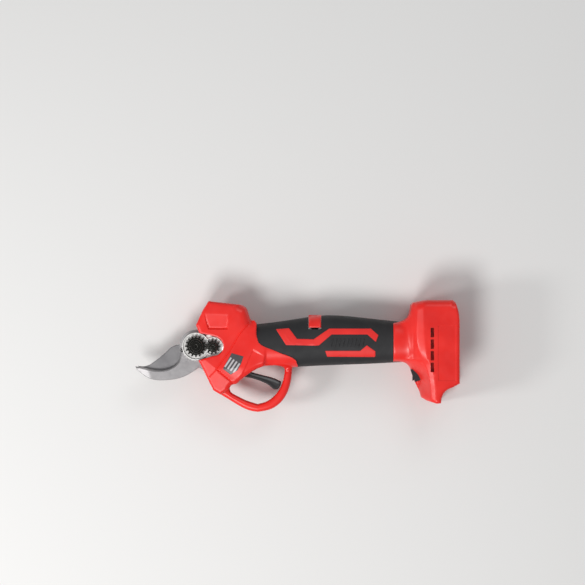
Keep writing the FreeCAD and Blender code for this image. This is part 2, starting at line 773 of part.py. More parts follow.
def lock_pinion():
    teeth = spur_gear(LOCK_TEETH, NUT_MODULE, PLATE_TOP + 0.05, 14.0, 0.5, 0.7, 1.0)
    gear = turned(teeth, 180.0 / LOCK_TEETH)
    gear = fused([gear, post(4.2, (0, 0), 14.0, 14.6)])
    gear.rotate(vec(0, 0, 0), vec(0, 0, 1), math.degrees(math.atan2(LOCK_Y, LOCK_X)) + 180.0)
    gear.translate(vec(LOCK_X, LOCK_Y))
    return gear.cut(post(2.05, lock_place(), 0, 30))


def lock_pinion_screw():
    core = post(1.95, lock_place(), HOOK_TOP + 0.3, 14.6)
    head = post(3.2, lock_place(), 14.6, 16.0)
    socket = post(1.4, lock_place(), 15.0, 17)
    return fused([core, head]).cut(socket)


def thrust_washer():
    return washer(12.0, BUSH_R + 0.05, (0, 0), WASHER_BOTTOM + 0.02, SECTOR_BOTTOM - 0.05)


# ---- bevel drive --------------------------------------------------------------------------------

def bevel_pinion():
    """Teeth that shrink towards the pivot, on the output shaft."""
    module = BEVEL_MODULE
    points = gear_points(PINION_TEETH, module, 0.8 * module, 1.1 * module, 0.35)
    front = polygon_wire(points, PINION_FRONT, PINION_FRONT / PINION_BACK)
    back = polygon_wire(points, PINION_BACK)
    teeth = Part.makeLoft([front, back], True, True)
    cone = stood_along_x(turned(teeth, 180.0))
    stub = shaft(SHAFT_R, PINION_BACK, RING_START + 3.4)
    return fused([cone, stub])


def sector_tooth(angle):
    """A straight bevel tooth: one four-sided section at the outer cone, the same drawn in inside."""
    cone_angle = math.atan2(SECTOR_TEETH_FULL, PINION_TEETH)
    outer = math.hypot(PINION_BACK, PINION_TEETH * BEVEL_MODULE / 2)
    along = vec(math.cos(angle) * math.sin(cone_angle), math.sin(angle) * math.sin(cone_angle),
                -math.cos(cone_angle))
    across = vec(-math.sin(angle), math.cos(angle), 0)
    up = vec(math.cos(angle) * math.cos(cone_angle), math.sin(angle) * math.cos(cone_angle),
             math.sin(cone_angle))
    low, high = -1.6 * BEVEL_MODULE, 0.8 * BEVEL_MODULE
    middle = math.pi * BEVEL_MODULE / 4 - 0.12
    slope = math.tan(math.radians(20.0))
    section = []
    for height, sign in ((low, -1), (low, 1), (high, 1), (high, -1)):
        section.append(along * outer + up * height + across * (sign * (middle - height * slope)))
    scale = PINION_FRONT / PINION_BACK
    wires = []
    for size in (1.0, scale):
        corners = [corner * size for corner in section]
        wires.append(Part.makePolygon(corners + corners[:1]))
    return Part.makeLoft(wires, True, True)


def sector_gear():
    """Hub and fan: the fan's top follows the root cone of the teeth."""
    pitch_step = 360.0 / SECTOR_TEETH_FULL
    first = (SECTOR_FIRST_TOOTH - 0.3) * pitch_step
    last = (SECTOR_LAST_TOOTH + 1.3) * pitch_step
    profile = Part.Face(Part.makePolygon([
        vec(10, 0, SECTOR_BOTTOM), vec(25.3, 0, SECTOR_BOTTOM + 1.2), vec(25.3, 0, -7.55),
        vec(17.6, 0, -5.6), vec(17.0, 0, SECTOR_TOP - 1.3), vec(10, 0, SECTOR_TOP),
        vec(10, 0, SECTOR_BOTTOM),
    ]))
    fan = turned(profile, first).revolve(vec(0, 0, 0), vec(0, 0, 1), last - first)
    hub = post(EYE_R - 1.0, (0, 0), SECTOR_BOTTOM, SECTOR_TOP)
    teeth = []
    for index in range(SECTOR_FIRST_TOOTH, SECTOR_LAST_TOOTH + 1):
        teeth.append(sector_tooth(math.radians((index + 0.5) * pitch_step)))
    gear = fused([hub, fan] + teeth)
    gear = gear.cut(post(BUSH_R + RUNNING_GAP, (0, 0), -30, 9))
    for place in drive_pin_places():
        gear = gear.cut(post(DRIVE_PIN_R, place, SECTOR_BOTTOM + 1.0, 9))
    return gear


def ball_bearing(start, width, bore, outside, balls):
    """Two races with a ring of balls between them."""
    middle = (bore + outside) / 2
    ball_r = (outside - bore) * 0.26
    centre = start + width / 2
    groove = Part.makeTorus(middle, ball_r * 1.02, vec(centre, 0, 0), vec(1, 0, 0))
    inner = tube(middle - ball_r * 0.5, bore + 0.04, start, start + width).cut(groove)
    outer = tube(outside, middle + ball_r * 0.5, start, start + width).cut(groove)
    pieces = [inner, outer]
    for index in range(balls):
        y, z = polar(middle, 360.0 * index / balls)
        pieces.append(Part.makeSphere(ball_r, vec(centre, y, z)))
    return Part.makeCompound(pieces)


def output_bearings():
    return Part.makeCompound([
        ball_bearing(start, 4.6, SHAFT_R, 8.0, 9) for start in (NOSE_START + 1.2, NOSE_START + 6.2)
    ])


# ---- planetary gearbox --------------------------------------------------------------------------

def planet_orbit():
    return (SUN_TEETH + PLANET_TEETH) * PLANET_MODULE / 2


def planet_centre(index):
    return polar(planet_orbit(), 360.0 * index / PLANET_COUNT)


def gearbox_nose():
    body = shaft(GEARBOX_R, NOSE_START, RING_START)
    body = body.cut(shaft(8.02, NOSE_START + 1.0, RING_START - 1.0))
    body = body.cut(shaft(SHAFT_R + 0.6, NOSE_START - 1, RING_START))
    body = body.cut(shaft(11.8, RING_START - 1.0, RING_START + 1))
    return body


def ring_gear():
    body = shaft(GEARBOX_R, RING_START, RING_END)
    cutter = spur_gear(RING_TEETH, PLANET_MODULE, RING_START + 3.6, RING_END + 1, -0.22, 1.25, 0.7)
    return body.cut(stood_along_x(cutter)).cut(shaft(11.8, RING_START - 1, RING_START + 3.7))


def planet_carrier():
    disc = shaft(11.2, RING_START + 0.4, RING_START + 3.4)
    disc = disc.cut(shaft(SHAFT_R, RING_START - 1, RING_END))
    for index in range(PLANET_COUNT):
        disc = disc.cut(shaft(PLANET_PIN_R, RING_START - 1, RING_END, planet_centre(index)))
    return disc


def planet_pins():
    pins = []
    for index in range(PLANET_COUNT):
        pins.append(shaft(PLANET_PIN_R, RING_START + 0.4, RING_END - 1.2, planet_centre(index)))
    return Part.makeCompound(pins)


def planet_gear(index):
    gear = spur_gear(PLANET_TEETH, PLANET_MODULE, RING_START + 3.9, RING_END - 1.6, 0.22, 0.8, 1.15)
    gear = turned(gear, 360.0 * index / PLANET_COUNT)
    y, z = planet_centre(index)
    gear = stood_along_x(gear)
    gear.translate(vec(0, y, z))
    return gear.cut(shaft(PLANET_PIN_R + RUNNING_GAP, RING_START, RING_END, (y, z)))


def sun_gear():
    gear = spur_gear(SUN_TEETH, PLANET_MODULE, RING_START + 4.1, RING_END - 0.6, 0.22, 0.8, 1.15)
    return stood_along_x(gear).cut(shaft(MOTOR_SHAFT_R, RING_START, RING_END))


def gearbox_cover():
    return tube(GEARBOX_R, 5.2, RING_END, COVER_END - 0.02)


# ---- motor --------------------------------------------------------------------------------------

def motor_can():
    return tube(MOTOR_R, MOTOR_R - 1.1, MOTOR_START + 3, MOTOR_END - 3)


def motor_cap(start, end):
    cap = shaft(MOTOR_R, start, end)
    cap = cap.cut(shaft(4.52, start, end))
    for index in range(6):
        y, z = polar(9.6, 60.0 * index + 30.0)
        cap = cap.cut(shaft(2.2, start - 1, end + 1, (y, z)))
    return cap


def motor_end_caps():
    return Part.makeCompound([
        motor_cap(MOTOR_START, MOTOR_START + 3),
        motor_cap(MOTOR_END - 3, MOTOR_END),
    ])


def motor_bearings():
    return Part.makeCompound([
        ball_bearing(MOTOR_START + 0.1, 2.8, MOTOR_SHAFT_R, 4.5, 7),
        ball_bearing(MOTOR_END - 2.9, 2.8, MOTOR_SHAFT_R, 4.5, 7),
    ])


def motor_stator():
    start, end = MOTOR_START + 9, MOTOR_END - 9
    body = tube(MOTOR_R - 1.12, STATOR_BORE, start, end)
    for index in range(STATOR_POLES):
        angle = 360.0 * (index + 0.5) / STATOR_POLES
        slot = block((start - 1, end + 1), (STATOR_BORE + 1.0, 11.4), (-2.7, 2.7))
        mouth = block((start - 1, end + 1), (STATOR_BORE - 1.0, 11.4), (-0.6, 0.6))
        body = body.cut(turned(fused([slot, mouth]), angle, (1, 0, 0)))
    return body


def motor_windings():
    """One coil half in each slot, with its overhang at both ends."""
    start, end = MOTOR_START + 5.4, MOTOR_END - 5.4
    coils = []
    for index in range(STATOR_POLES):
        angle = 360.0 * (index + 0.5) / STATOR_POLES
        for side in (-1, 1):
            low, high = sorted((side * 0.25, side * 2.55))
            coil = block((start, end), (STATOR_BORE + 1.2, 11.2), (low, high))
            coils.append(turned(coil, angle, (1, 0, 0)))
    return Part.makeCompound(coils)


def rotor_core():
    return tube(ROTOR_R, MOTOR_SHAFT_R, MOTOR_START + 8, MOTOR_END - 8)


def rotor_magnets():
    """Four arc magnets with gaps between them."""
    magnets = []
    for index in range(4):
        ring = tube(MAGNET_R, ROTOR_R, MOTOR_START + 8.5, MOTOR_END - 8.5)
        keep = block((0, 200), (0.4, 10), (0.4, 10))
        magnets.append(ring.common(turned(keep, 90.0 * index, (1, 0, 0))))
    return Part.makeCompound(magnets)


def motor_shaft():
    return shaft(MOTOR_SHAFT_R, RING_START + 4.1, MOTOR_END + 1.6)


# ---- trigger ------------------------------------------------------------------------------------

def trigger():
    body = plate(TRIGGER, -TRIGGER_HALF, TRIGGER_HALF)
    body = body.cut(post(TRIGGER_PIN_R + RUNNING_GAP, TRIGGER_PIVOT, -20, 20))
    body = body.cut(post(4.9, TRIGGER_PIVOT, 1.4, 20))
    body = body.cut(block((52.0, 55.2), (-25.0, -21.6), (-2.1, 2.1)))
    return body


def trigger_pin():
    return post(TRIGGER_PIN_R, TRIGGER_PIVOT, -9.0, 9.0)


def trigger_magnet():
    return block((52.1, 55.1), (-24.9, -21.7), (-2.0, 2.0))


def coil_spring(wire_r, coil_r, pitch, length):
    """A round wire wound about Z, its first turn starting at z = 0."""
    helix = Part.makeHelix(pitch, length, coil_r)
    profile = Part.Wire(Part.makeCircle(wire_r, vec(coil_r, 0, 0), vec(0, 1, 0)))
    return Part.Wire(helix).makePipeShell([profile], True, True)


def trigger_spring():
    """Torsion spring: a close coil round the pin, in the trigger's side pocket."""
    coil = coil_spring(*TRIGGER_SPRING)
    coil.translate(vec(TRIGGER_PIVOT[0], TRIGGER_PIVOT[1], 1.9))
    return coil


def trigger_board():
    """Hall sensor board beside the magnet's path."""
    board = block((44.8, 55.4), (-22.4, -17.0), (5.7, 6.9))
    chip = block((50.0, 54.0), (-21.4, -18.4), (6.9, 8.1))
    return fused([board, chip])


# ---- thumb button -------------------------------------------------------------------------------

def thumb_button():
    """A saddle over the top of the grip: rounded like the grip, hollow from below, with a stem."""
    body = block(BUTTON_X, (BUTTON_LOW, BUTTON_TOP), (-BUTTON_HALF, BUTTON_HALF))
    shoulders = [
        edge for edge in body.Edges
        if abs(edge.BoundBox.YMin - BUTTON_TOP) < 1e-4 and edge.BoundBox.XLength > 1
    ]
    body = body.makeFillet(GRIP_ROUNDING, shoulders)
    room = BUTTON_HALF - BUTTON_SIDE_WALL
    body = body.cut(block((BUTTON_X[0] + 1.6, BUTTON_X[1] - 1.6), (10, 27.4), (-room, room)))
    stem = block((116.6, 120.6), (20.4, 28.0), (-2.0, 2.0))
    return fused([body, stem])


def button_spring():
    """A short coil round the button's stem, standing on the switch."""
    coil = coil_spring(*BUTTON_SPRING)
    coil.rotate(vec(0, 0, 0), vec(1, 0, 0), -90)
    coil.translate(vec(118.6, 19.2, 0))
    return coil


def button_switch():
    base = block((112.0, 125.2), (12.0, 15.0), (-6.5, 6.5))
    body = block((115.4, 121.8), (15.0, 17.6), (-3.2, 3.2))
    seat = post_along_y(4.4, 118.6, 17.6, 18.4)
    return fused([base, body, seat])


def post_along_y(radius, x, low, high):
    return Part.makeCylinder(radius, high - low, vec(x, low, 0), vec(0, 1, 0))


# ---- electronics --------------------------------------------------------------------------------

def control_board():
    board = block(BOARD_X, BOARD_Y, BOARD_Z)
    for x in (BOARD_X[0] + 3, BOARD_X[1] - 12):
        for y in (BOARD_Y[0] + 3, BOARD_Y[1] - 3):
            board = board.cut(post(1.3, (x, y), -3, 3))
    chip = block((164.0, 171.0), (-5.2, -1.6), (BOARD_Z[1], BOARD_Z[1] + 1.4))
    socket = block((183.0, 191.0), (6.5, 11.5), (BOARD_Z[1], BOARD_Z[1] + 5.0))
    return fused([board, chip, socket])


def power_transistors():
    parts = []
    for row in range(2):
        for column in range(3):
            x = 134.0 + 9.0 * column
            y = -4.6 + 8.4 * row
            parts.append(block((x, x + 6.2), (y, y + 5.6), (BOARD_Z[1], BOARD_Z[1] + 2.2)))
    return Part.makeCompound(parts)


def heat_sink():
    base = block((132.5, 160.0), (-5.2, 11.6), (BOARD_Z[1] + 2.2, BOARD_Z[1] + 4.2))
    fins = []
    for index in range(7):
        y = -5.2 + 2.6 * index
        fins.append(block((132.5, 160.0), (y, y + 1.2), (BOARD_Z[1] + 4.2, BOARD_Z[1] + 10.0)))
    return fused([base] + fins)


def capacitors():
    cans = []
    for index in range(2):
        x = 166.5 + 10.6 * index
        can = post(4.6, (x, 4.4), BOARD_Z[1], BOARD_Z[1] + 13.0)
        groove = washer(5.0, 4.3, (x, 4.4), BOARD_Z[1] + 2.0, BOARD_Z[1] + 2.8)
        cans.append(can.cut(groove))
    return Part.makeCompound(cans)


def lead_path(points, radius):
    """A wire along straight runs in one plane parallel to XY, joined by arcs of one radius."""
    corners = [vec(*point) for point in points]
    edges = []
    last = corners[0]
    for before, here, after in zip(corners, corners[1:], corners[2:]):
        arrive = (here - before).normalize()
        leave = (after - here).normalize()
        turn = math.acos(max(-1.0, min(1.0, arrive.dot(leave))))
        reach = radius * math.tan(turn / 2)
        start = here - arrive * reach
        end = here + leave * reach
        inward = (leave - arrive).normalize()
        middle = here + inward * (radius / math.cos(turn / 2) - radius)
        edges.append(Part.makeLine(last, start))
        edges.append(Part.Arc(start, middle, end).toShape())
        last = end
    edges.append(Part.makeLine(last, corners[-1]))
    return Part.Wire(edges)


def lead(points, bend_radius, wire_r):
    path = lead_path(points, bend_radius)
    start = path.Edges[0].valueAt(path.Edges[0].FirstParameter)
    heading = path.Edges[0].tangentAt(path.Edges[0].FirstParameter)
    profile = Part.Wire(Part.makeCircle(wire_r, start, heading))
    return path.makePipeShell([profile], True, True)


def motor_leads():
    """Three phase wires from the motor's rear cap down to the front edge of the board."""
    leads = []
    for index in range(3):
        height = -4.6 - 3.0 * index
        side = -4.0 + 4.6 * index
        leads.append(lead([
            (MOTOR_END + 0.1, side, height), (108.0, side, height),
            (117.0, side + 2.6, height), (132.0, side + 2.6, height),
        ], 9.0, 1.1))
    return Part.makeCompound(leads)


def battery_leads():
    """Positive and negative wires from the board's rear to the terminal block."""
    leads = []
    for index in range(2):
        y = 9.0 - 9.0 * index
        leads.append(lead([
            (182.0, y, LEAD_Z), (200.0, y, LEAD_Z),
            (218.0, y - 4.0, LEAD_Z), (236.2, y - 4.0, LEAD_Z),
        ], 20.0, 1.4))
    return Part.makeCompound(leads)


# ---- battery interface --------------------------------------------------------------------------

def terminal_block():
    body = block((239.0, 245.9), (-12.0, 14.0), (-19.0, 19.0))
    tongue = block((245.9, 253.6), (-8.0, 10.0), (-15.5, 15.5))
    shape = fused([body, tongue])
    for z in CONTACT_PLACES:
        shape = shape.cut(block((244.0, 254.0), (-8.5, 6.0), (z - 1.0, z + 1.0)))
        shape = shape.cut(block((238.0, 246.0), (-2.0, 2.0), (z - 0.6, z + 0.6)))
    return shape


def battery_contacts():
    blades = []
    for z in CONTACT_PLACES:
        blade = block((246.0, 252.8), (-7.6, 5.6), (z - CONTACT_HALF, z + CONTACT_HALF))
        tail = block((236.4, 246.0), (-1.8, 1.8), (z - CONTACT_HALF, z + CONTACT_HALF))
        blades.append(fused([blade, tail]))
    return Part.makeCompound(blades)


def build():
    """Every node by name, still round the pivot."""
    nodes = {
        "housing_left": housing(1),
        "housing_right": housing(-1),
        "label_plate": label_plate(),
        "grip_left": grip(1),
        "grip_right": grip(-1),
        "grip_stripes_left": grip_stripes(1),
        "grip_stripes_right": grip_stripes(-1),
        "foot_left": foot(1),
        "foot_right": foot(-1),
        "head_casting": head_casting(),
        "rear_plate": rear_plate(),
        "frame_bolts": frame_bolts(),
        "counter_blade": counter_blade(),
        "counter_blade_screws": counter_blade_screws(),
        "moving_blade": moving_blade(),
        "drive_pins": drive_pins(),
        "pivot_bush": pivot_bush(),
        "pivot_bolt": pivot_bolt(),
        "pivot_nut_gear": pivot_nut_gear(),
        "lock_pinion": lock_pinion(),
        "lock_pinion_screw": lock_pinion_screw(),
        "thrust_washer": thrust_washer(),
        "sector_gear": sector_gear(),
        "bevel_pinion": bevel_pinion(),
        "output_bearings": output_bearings(),
        "gearbox_nose": gearbox_nose(),
        "ring_gear": ring_gear(),
        "planet_carrier": planet_carrier(),
        "planet_pins": planet_pins(),
        "sun_gear": sun_gear(),
        "gearbox_cover": gearbox_cover(),
        "motor_can": motor_can(),
        "motor_end_caps": motor_end_caps(),
        "motor_bearings": motor_bearings(),
        "motor_stator": motor_stator(),
        "motor_windings": motor_windings(),
        "rotor_core": rotor_core(),
        "rotor_magnets": rotor_magnets(),
        "motor_shaft": motor_shaft(),
        "trigger": trigger(),
        "trigger_pin": trigger_pin(),
        "trigger_magnet": trigger_magnet(),
        "trigger_spring": trigger_spring(),
        "trigger_board": trigger_board(),
        "thumb_button": thumb_button(),
        "button_spring": button_spring(),
        "button_switch": button_switch(),
        "control_board": control_board(),
        "power_transistors": power_transistors(),
        "heat_sink": heat_sink(),
        "capacitors": capacitors(),
        "terminal_block": terminal_block(),
        "battery_contacts": battery_contacts(),
        "rocker_frame": rocker_frame(),
        "power_rocker": power_rocker(),
        "case_screws": Part.makeCompound(
            case_screws(HOUSING_BOSSES, NOSE_HALF) + case_screws(GRIP_BOSSES, GRIP_HALF)
            + case_screws(FOOT_BOSSES, FOOT_HALF)
        ),
        "power_leads": Part.makeCompound([motor_leads(), battery_leads()]),
    }
    for index in range(PLANET_COUNT):
        nodes["planet_gear_%d" % (index + 1)] = planet_gear(index)
    return nodes


def main():
    nodes = build()
    whole = Part.makeCompound(list(nodes.values())).optimalBoundingBox()
    shift = vec(
        round(-(whole.XMin + whole.XMax) / 2, 2),
        round(-(whole.YMin + whole.YMax) / 2, 2),
        round(-whole.ZMin, 2),
    )
    os.makedirs("parts", exist_ok=True)
    for name, shape in nodes.items():
        shape.translate(shift)
        shape.exportStep("parts/%s.step" % name)
    print("pivot at", shift.x, shift.y, shift.z)
    print("nodes", len(nodes))


main()
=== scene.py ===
"""Battery electric pruner: skins, blades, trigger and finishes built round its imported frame.

Shapes are worked out in millimetres round the blade pivot: +X runs back to the battery foot, +Y up to
the thumb button and +Z out of the left side. A piece is then moved to the pivot's place in the frame.
"""

import json
import math

import bpy
import numpy as np
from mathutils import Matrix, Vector
from mathutils.geometry import delaunay_2d_cdt


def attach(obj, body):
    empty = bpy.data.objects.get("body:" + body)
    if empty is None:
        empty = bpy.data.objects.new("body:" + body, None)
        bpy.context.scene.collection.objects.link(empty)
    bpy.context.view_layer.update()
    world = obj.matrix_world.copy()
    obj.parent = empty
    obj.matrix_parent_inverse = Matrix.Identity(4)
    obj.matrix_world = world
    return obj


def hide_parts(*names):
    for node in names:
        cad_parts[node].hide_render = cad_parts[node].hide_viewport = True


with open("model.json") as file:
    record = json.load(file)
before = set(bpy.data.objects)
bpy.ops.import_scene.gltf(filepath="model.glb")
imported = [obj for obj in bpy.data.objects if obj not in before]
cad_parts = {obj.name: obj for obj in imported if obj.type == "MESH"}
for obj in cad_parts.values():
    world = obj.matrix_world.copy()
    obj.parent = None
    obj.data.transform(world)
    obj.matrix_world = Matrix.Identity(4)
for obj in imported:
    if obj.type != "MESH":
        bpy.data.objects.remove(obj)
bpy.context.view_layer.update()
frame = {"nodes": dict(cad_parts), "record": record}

bl_info = {
    "name": "Battery Electric Pruner",
    "version": (1, 0, 0),
    "blender": (4, 5, 0),
    "location": "3D View > Sidebar > Pruner",
    "description": "Builds the skins, blades and finishes of a battery electric pruner",
    "category": "Add Mesh",
}

JOINTS = {joint["name"]: joint for joint in frame["record"]["behaviour"]["joints"]}
PIVOT = np.array(JOINTS["blade_pivot"]["pos_m"]) * 1000

# ---- sizes in millimetres -----------------------------------------------------------------------

MM = 0.001
SEAM = 0.05
THINNEST = 0.02
WALL_BAND = 0.35
CREASE_HALF = 0.3
BORDER_TOUCH = 0.03
SCREW_WELL_R = 2.7

# Head: levels are heights over the seam between the two shells.
NOSE_LEVEL = 17.0
PLATEAU_RISE = 2.6
PLATEAU_RUN = 20.0
GROOVE_DEPTH = 0.45
GROOVE_HALF = 0.55
NOSE_FALL = 0.14
LOWER_STEP = 0.5
NECK_STEP = 0.7
NECK_RUN = 16.0
TAIL_START = 58.0
TAIL_RUN = 12.0
POCKET_TOP = 33.2
POCKET_RAMP = 16.5
POCKET_WALL = 1.3
POCKET_GROOVE = 0.9
GUARD_HALF = 7.5
GUARD_ROUNDING = 3.6
GUARD_JOINT_Y = -25.8
GUARD_JOINT_X = 86.0
TRIGGER_SLOT_GAP = 5.6
PIVOT_ROOM = 17.2

# Grip
GRIP_HALF = 19.5
GRIP_POWER = 2.6
WINDOW = (112.1, 125.2, 16.9)
BUTTON = (112.5, 124.8, 18.7, 31.2)
BUTTON_ROOF = 29.2
BUTTON_ROOM = 15.0
RIB_COUNT = 9
RIB_START = 133.4
RIB_PITCH = 3.9

# Foot
FOOT_HALF = 32.0
CREASE_LEVEL = 29.0
FACET_RISE = 2.9
COLLAR_END = 216.0
CHANNEL_HALF = 27.5
LIP_HALF = 22.0

# Blades and trigger
EYE_R = 16.5
BLADE_THICK = 4.5
HOOK_TOP = 6.0
HOOK_TIP_FALL = 0.27
HOLLOW_GRIND = 7.0
TRIGGER_HALF = 5.0

# ---- stage, in metres ---------------------------------------------------------------------------

LIGHT_AIM = Vector((0.0, 0.0, 0.02))
FLOOR_HALF = 3.0
FLOOR_LEVEL = -0.0003
CAMERA_HEIGHT = 4.0
CAMERA_LENS = 246.2

# ---- outlines: two points make a straight run, more make a smooth curve --------------------------

NOSE_CUT_OUT = [
    [(2.3, -13.8), (16.8, -9.5)],
    [(16.8, -9.5), (23.0, -7.7), (26.6, -3.8), (27.4, 0.4), (25.6, 5.4), (20.8, 9.2)],
    [(20.8, 9.2), (13.8, 11.2)],
    [(13.8, 11.2), (3.3, 13.2)],
]
HUMP_FRONT = [
    [(3.3, 13.2), (-0.2, 21.2)],
    [(-0.2, 21.2), (6.8, 36.2)],
    [(6.8, 36.2), (12.6, 45.2)],
    [(12.6, 45.2), (45.0, 41.4)],
]
HUMP_SHOULDER = [
    [(45.0, 41.4), (49.8, 38.6), (52.4, 32.6), (54.9, 26.0)],
]
HUMP_NECK = [
    [(54.9, 26.0), (58.4, 25.7)],
    [(58.4, 25.7), (60.0, 23.6), (60.5, 16.2), (61.2, 9.2)],
]
GRIP_BORDER = [
    [(61.2, 9.2), (62.6, 4.4), (66.4, 1.0), (73.8, -2.2)],
    [(73.8, -2.2), (94.0, -10.3)],
    [(94.0, -10.3), (98.3, -12.6), (100.6, -16.0), (101.7, -20.6)],
]
LOOP_CEILING = [
    [(101.7, -20.6), (88.3, -21.6)],
    [(88.3, -21.6), (84.0, -19.7), (75.8, -19.1), (66.0, -20.3), (55.8, -25.3), (43.8, -34.3)],
    [(43.8, -34.3), (39.6, -37.6), (36.0, -38.4), (33.5, -42.0)],
]
NOSE_CORNER = [
    [(33.5, -42.0), (24.4, -48.1)],
    [(24.4, -48.1), (17.3, -43.8)],
]
LOWER_NOSE = [
    [(17.3, -43.8), (11.6, -32.3), (7.6, -23.8), (2.3, -13.8)],
]
GUARD_RUN = [
    [(101.7, -20.6), (96.2, -20.9)],
    [(96.2, -20.9), (95.4, -29.8), (90.9, -46.8), (84.8, -55.8), (76.8, -61.8), (61.8, -65.6)],
    [(61.8, -65.6), (53.8, -64.2), (43.8, -59.8), (33.8, -53.8), (17.3, -43.8)],
]
FINGER_LOOP = [
    [(75.8, -19.1), (66.0, -20.3), (55.8, -25.3), (43.8, -34.3)],
    [(43.8, -34.3), (39.6, -37.6), (36.0, -38.4), (33.5, -42.0)],
    [(33.5, -42.0), (34.6, -45.6), (38.8, -48.6), (48.8, -53.6), (61.4, -57.8)],
    [(61.4, -57.8), (68.8, -55.8), (78.8, -48.8), (85.3, -38.8), (88.3, -26.8)],
    [(88.3, -26.8), (88.2, -22.4), (84.4, -19.9), (75.8, -19.1)],
]
HEAD = NOSE_CUT_OUT + HUMP_FRONT + HUMP_SHOULDER + HUMP_NECK + GRIP_BORDER + LOOP_CEILING
HEAD = HEAD + NOSE_CORNER + LOWER_NOSE
SHELL = NOSE_CUT_OUT + HUMP_FRONT + HUMP_SHOULDER + HUMP_NECK + GRIP_BORDER + GUARD_RUN + LOWER_NOSE
LONG_CREASE = [[(55.2, 26.2), (43.8, 13.2)], [(43.8, 13.2), (33.8, -3.8)],
               [(33.8, -3.8), (20.3, -22.3)], [(20.3, -22.3), (11.8, -31.3)]]
CROSS_CREASE = [[(9.8, -13.8), (20.3, -22.3)], [(20.3, -22.3), (35.8, -35.8)]]
POCKET = [[(7.8, 33.2), (9.8, 24.2)], [(9.8, 24.2), (12.3, 16.7)], [(12.3, 16.7), (31.8, 16.7)],
          [(31.8, 16.7), (32.6, 32.2)], [(32.6, 32.2), (7.8, 33.2)]]
GRIP_TOP = [
    [(60.0, 22.0), (78.8, 24.2), (103.8, 27.9), (128.8, 30.8), (163.8, 28.8), (212.0, 23.6)],
]
GRIP_REAR = [
    [(212.0, 23.6), (212.0, -15.4)],
]
GRIP_BOTTOM = [
    [(212.0, -15.4), (175.8, -17.4), (128.8, -19.2), (101.7, -20.6)],
]
GRIP_FRONT = [
    [(101.7, -20.6), (98.6, -20.4)],
    [(98.6, -20.4), (97.6, -17.4), (95.6, -14.8), (92.2, -12.8)],
    [(92.2, -12.8), (72.6, -5.0)],
    [(72.6, -5.0), (64.6, -1.4), (60.2, 2.8), (58.2, 8.8)],
    [(58.2, 8.8), (57.4, 21.6)],
    [(57.4, 21.6), (60.0, 22.0)],
]
UPPER_STRIPE = [
    [(79.8, 17.2), (92.8, 18.2)],
    [(92.8, 18.2), (100.8, 7.7)],
    [(100.8, 7.7), (117.3, 7.2)],
    [(117.3, 7.2), (133.0, 17.9)],
    [(133.0, 17.9), (174.3, 17.9)],
    [(174.3, 17.9), (181.8, 11.2)],
    [(181.8, 11.2), (179.3, 4.5)],
    [(179.3, 4.5), (170.8, 11.9)],
    [(170.8, 11.9), (135.3, 11.9)],
    [(135.3, 11.9), (122.8, 1.2)],
    [(122.8, 1.2), (118.8, 0.7)],
    [(118.8, 0.7), (89.8, 1.4)],
    [(89.8, 1.4), (79.8, 17.2)],
]
LOWER_STRIPE = [
    [(128.8, -4.3), (163.8, -4.3)],
    [(163.8, -4.3), (170.3, 1.2)],
    [(170.3, 1.2), (178.8, -4.8)],
    [(178.8, -4.8), (178.8, -9.8)],
    [(178.8, -9.8), (177.8, -10.6)],
    [(177.8, -10.6), (130.8, -10.3)],
    [(130.8, -10.3), (128.8, -4.3)],
]
FOOT_COLLAR = [
    [(196.8, -15.3), (196.8, 23.2)],
]
FOOT_FRONT = [
    [(196.8, 23.2), (203.8, 24.7), (208.8, 26.9), (211.8, 30.4), (214.6, 41.2)],
    [(214.6, 41.2), (217.0, 43.8)],
]
FOOT_TOP = [
    [(217.0, 43.8), (228.8, 46.2)],
    [(228.8, 46.2), (255.8, 46.2)],
    [(255.8, 46.2), (258.0, 44.0)],
]
FOOT_END = [
    [(258.0, 44.0), (260.9, 36.0), (262.3, 26.0)],
    [(262.3, 26.0), (262.3, -36.8)],
]
FOOT_LOWER = [
    [(262.3, -36.8), (255.8, -40.3)],
    [(255.8, -40.3), (248.4, -44.2), (245.0, -49.4), (243.8, -56.3)],
    [(243.8, -56.3), (239.8, -56.8)],
    [(239.8, -56.8), (229.8, -53.8)],
    [(229.8, -53.8), (224.8, -50.8)],
    [(224.8, -50.8), (223.3, -45.8), (217.8, -33.8), (214.8, -23.8)],
    [(214.8, -23.8), (211.8, -18.8), (207.8, -16.2), (196.8, -15.3)],
]
FOOT = FOOT_COLLAR + FOOT_FRONT + FOOT_TOP + FOOT_END + FOOT_LOWER
FRONT_CREASE = [(233.8, -50.0), (233.5, -43.4), (228.4, -18.8), (221.8, -2.3), (220.3, 34.3), (220.0, 50.0)]
REAR_CREASE = [(235.4, -50.0), (234.7, -43.0), (230.2, -14.8), (227.4, 4.0), (226.2, 24.2), (226.0, 50.0)]
PANEL = (240.8, 258.4, -33.8, 21.2)
VENT = (233.3, 236.8, 18.7, 9.5, 11.5)
HOOK_BACK = [
    [(10.0, -8.0), (25.4, -11.0)],
    [(25.4, -11.0), (25.6, -14.9)],
    [(25.6, -14.9), (43.5, -14.9)],
    [(43.5, -14.9), (43.5, -21.5)],
    [(43.5, -21.5), (34.0, -25.5)],
    [(34.0, -25.5), (14.0, -26.0)],
    [(14.0, -26.0), (2.8, -21.3)],
    [(2.8, -21.3), (-11.2, -29.9), (-31.2, -33.9), (-45.7, -32.4), (-59.2, -23.3)],
    [(-59.2, -23.3), (-60.7, -20.1)],
]
HOOK_EDGE = [
    [(-60.7, -20.1), (-54.2, -20.8)],
    [(-54.2, -20.8), (-41.2, -23.8), (-28.0, -22.6), (-18.2, -15.8), (-15.2, -5.8)],
]
HOOK = HOOK_BACK + HOOK_EDGE + [[(-15.2, -5.8), (10.0, -8.0)]]
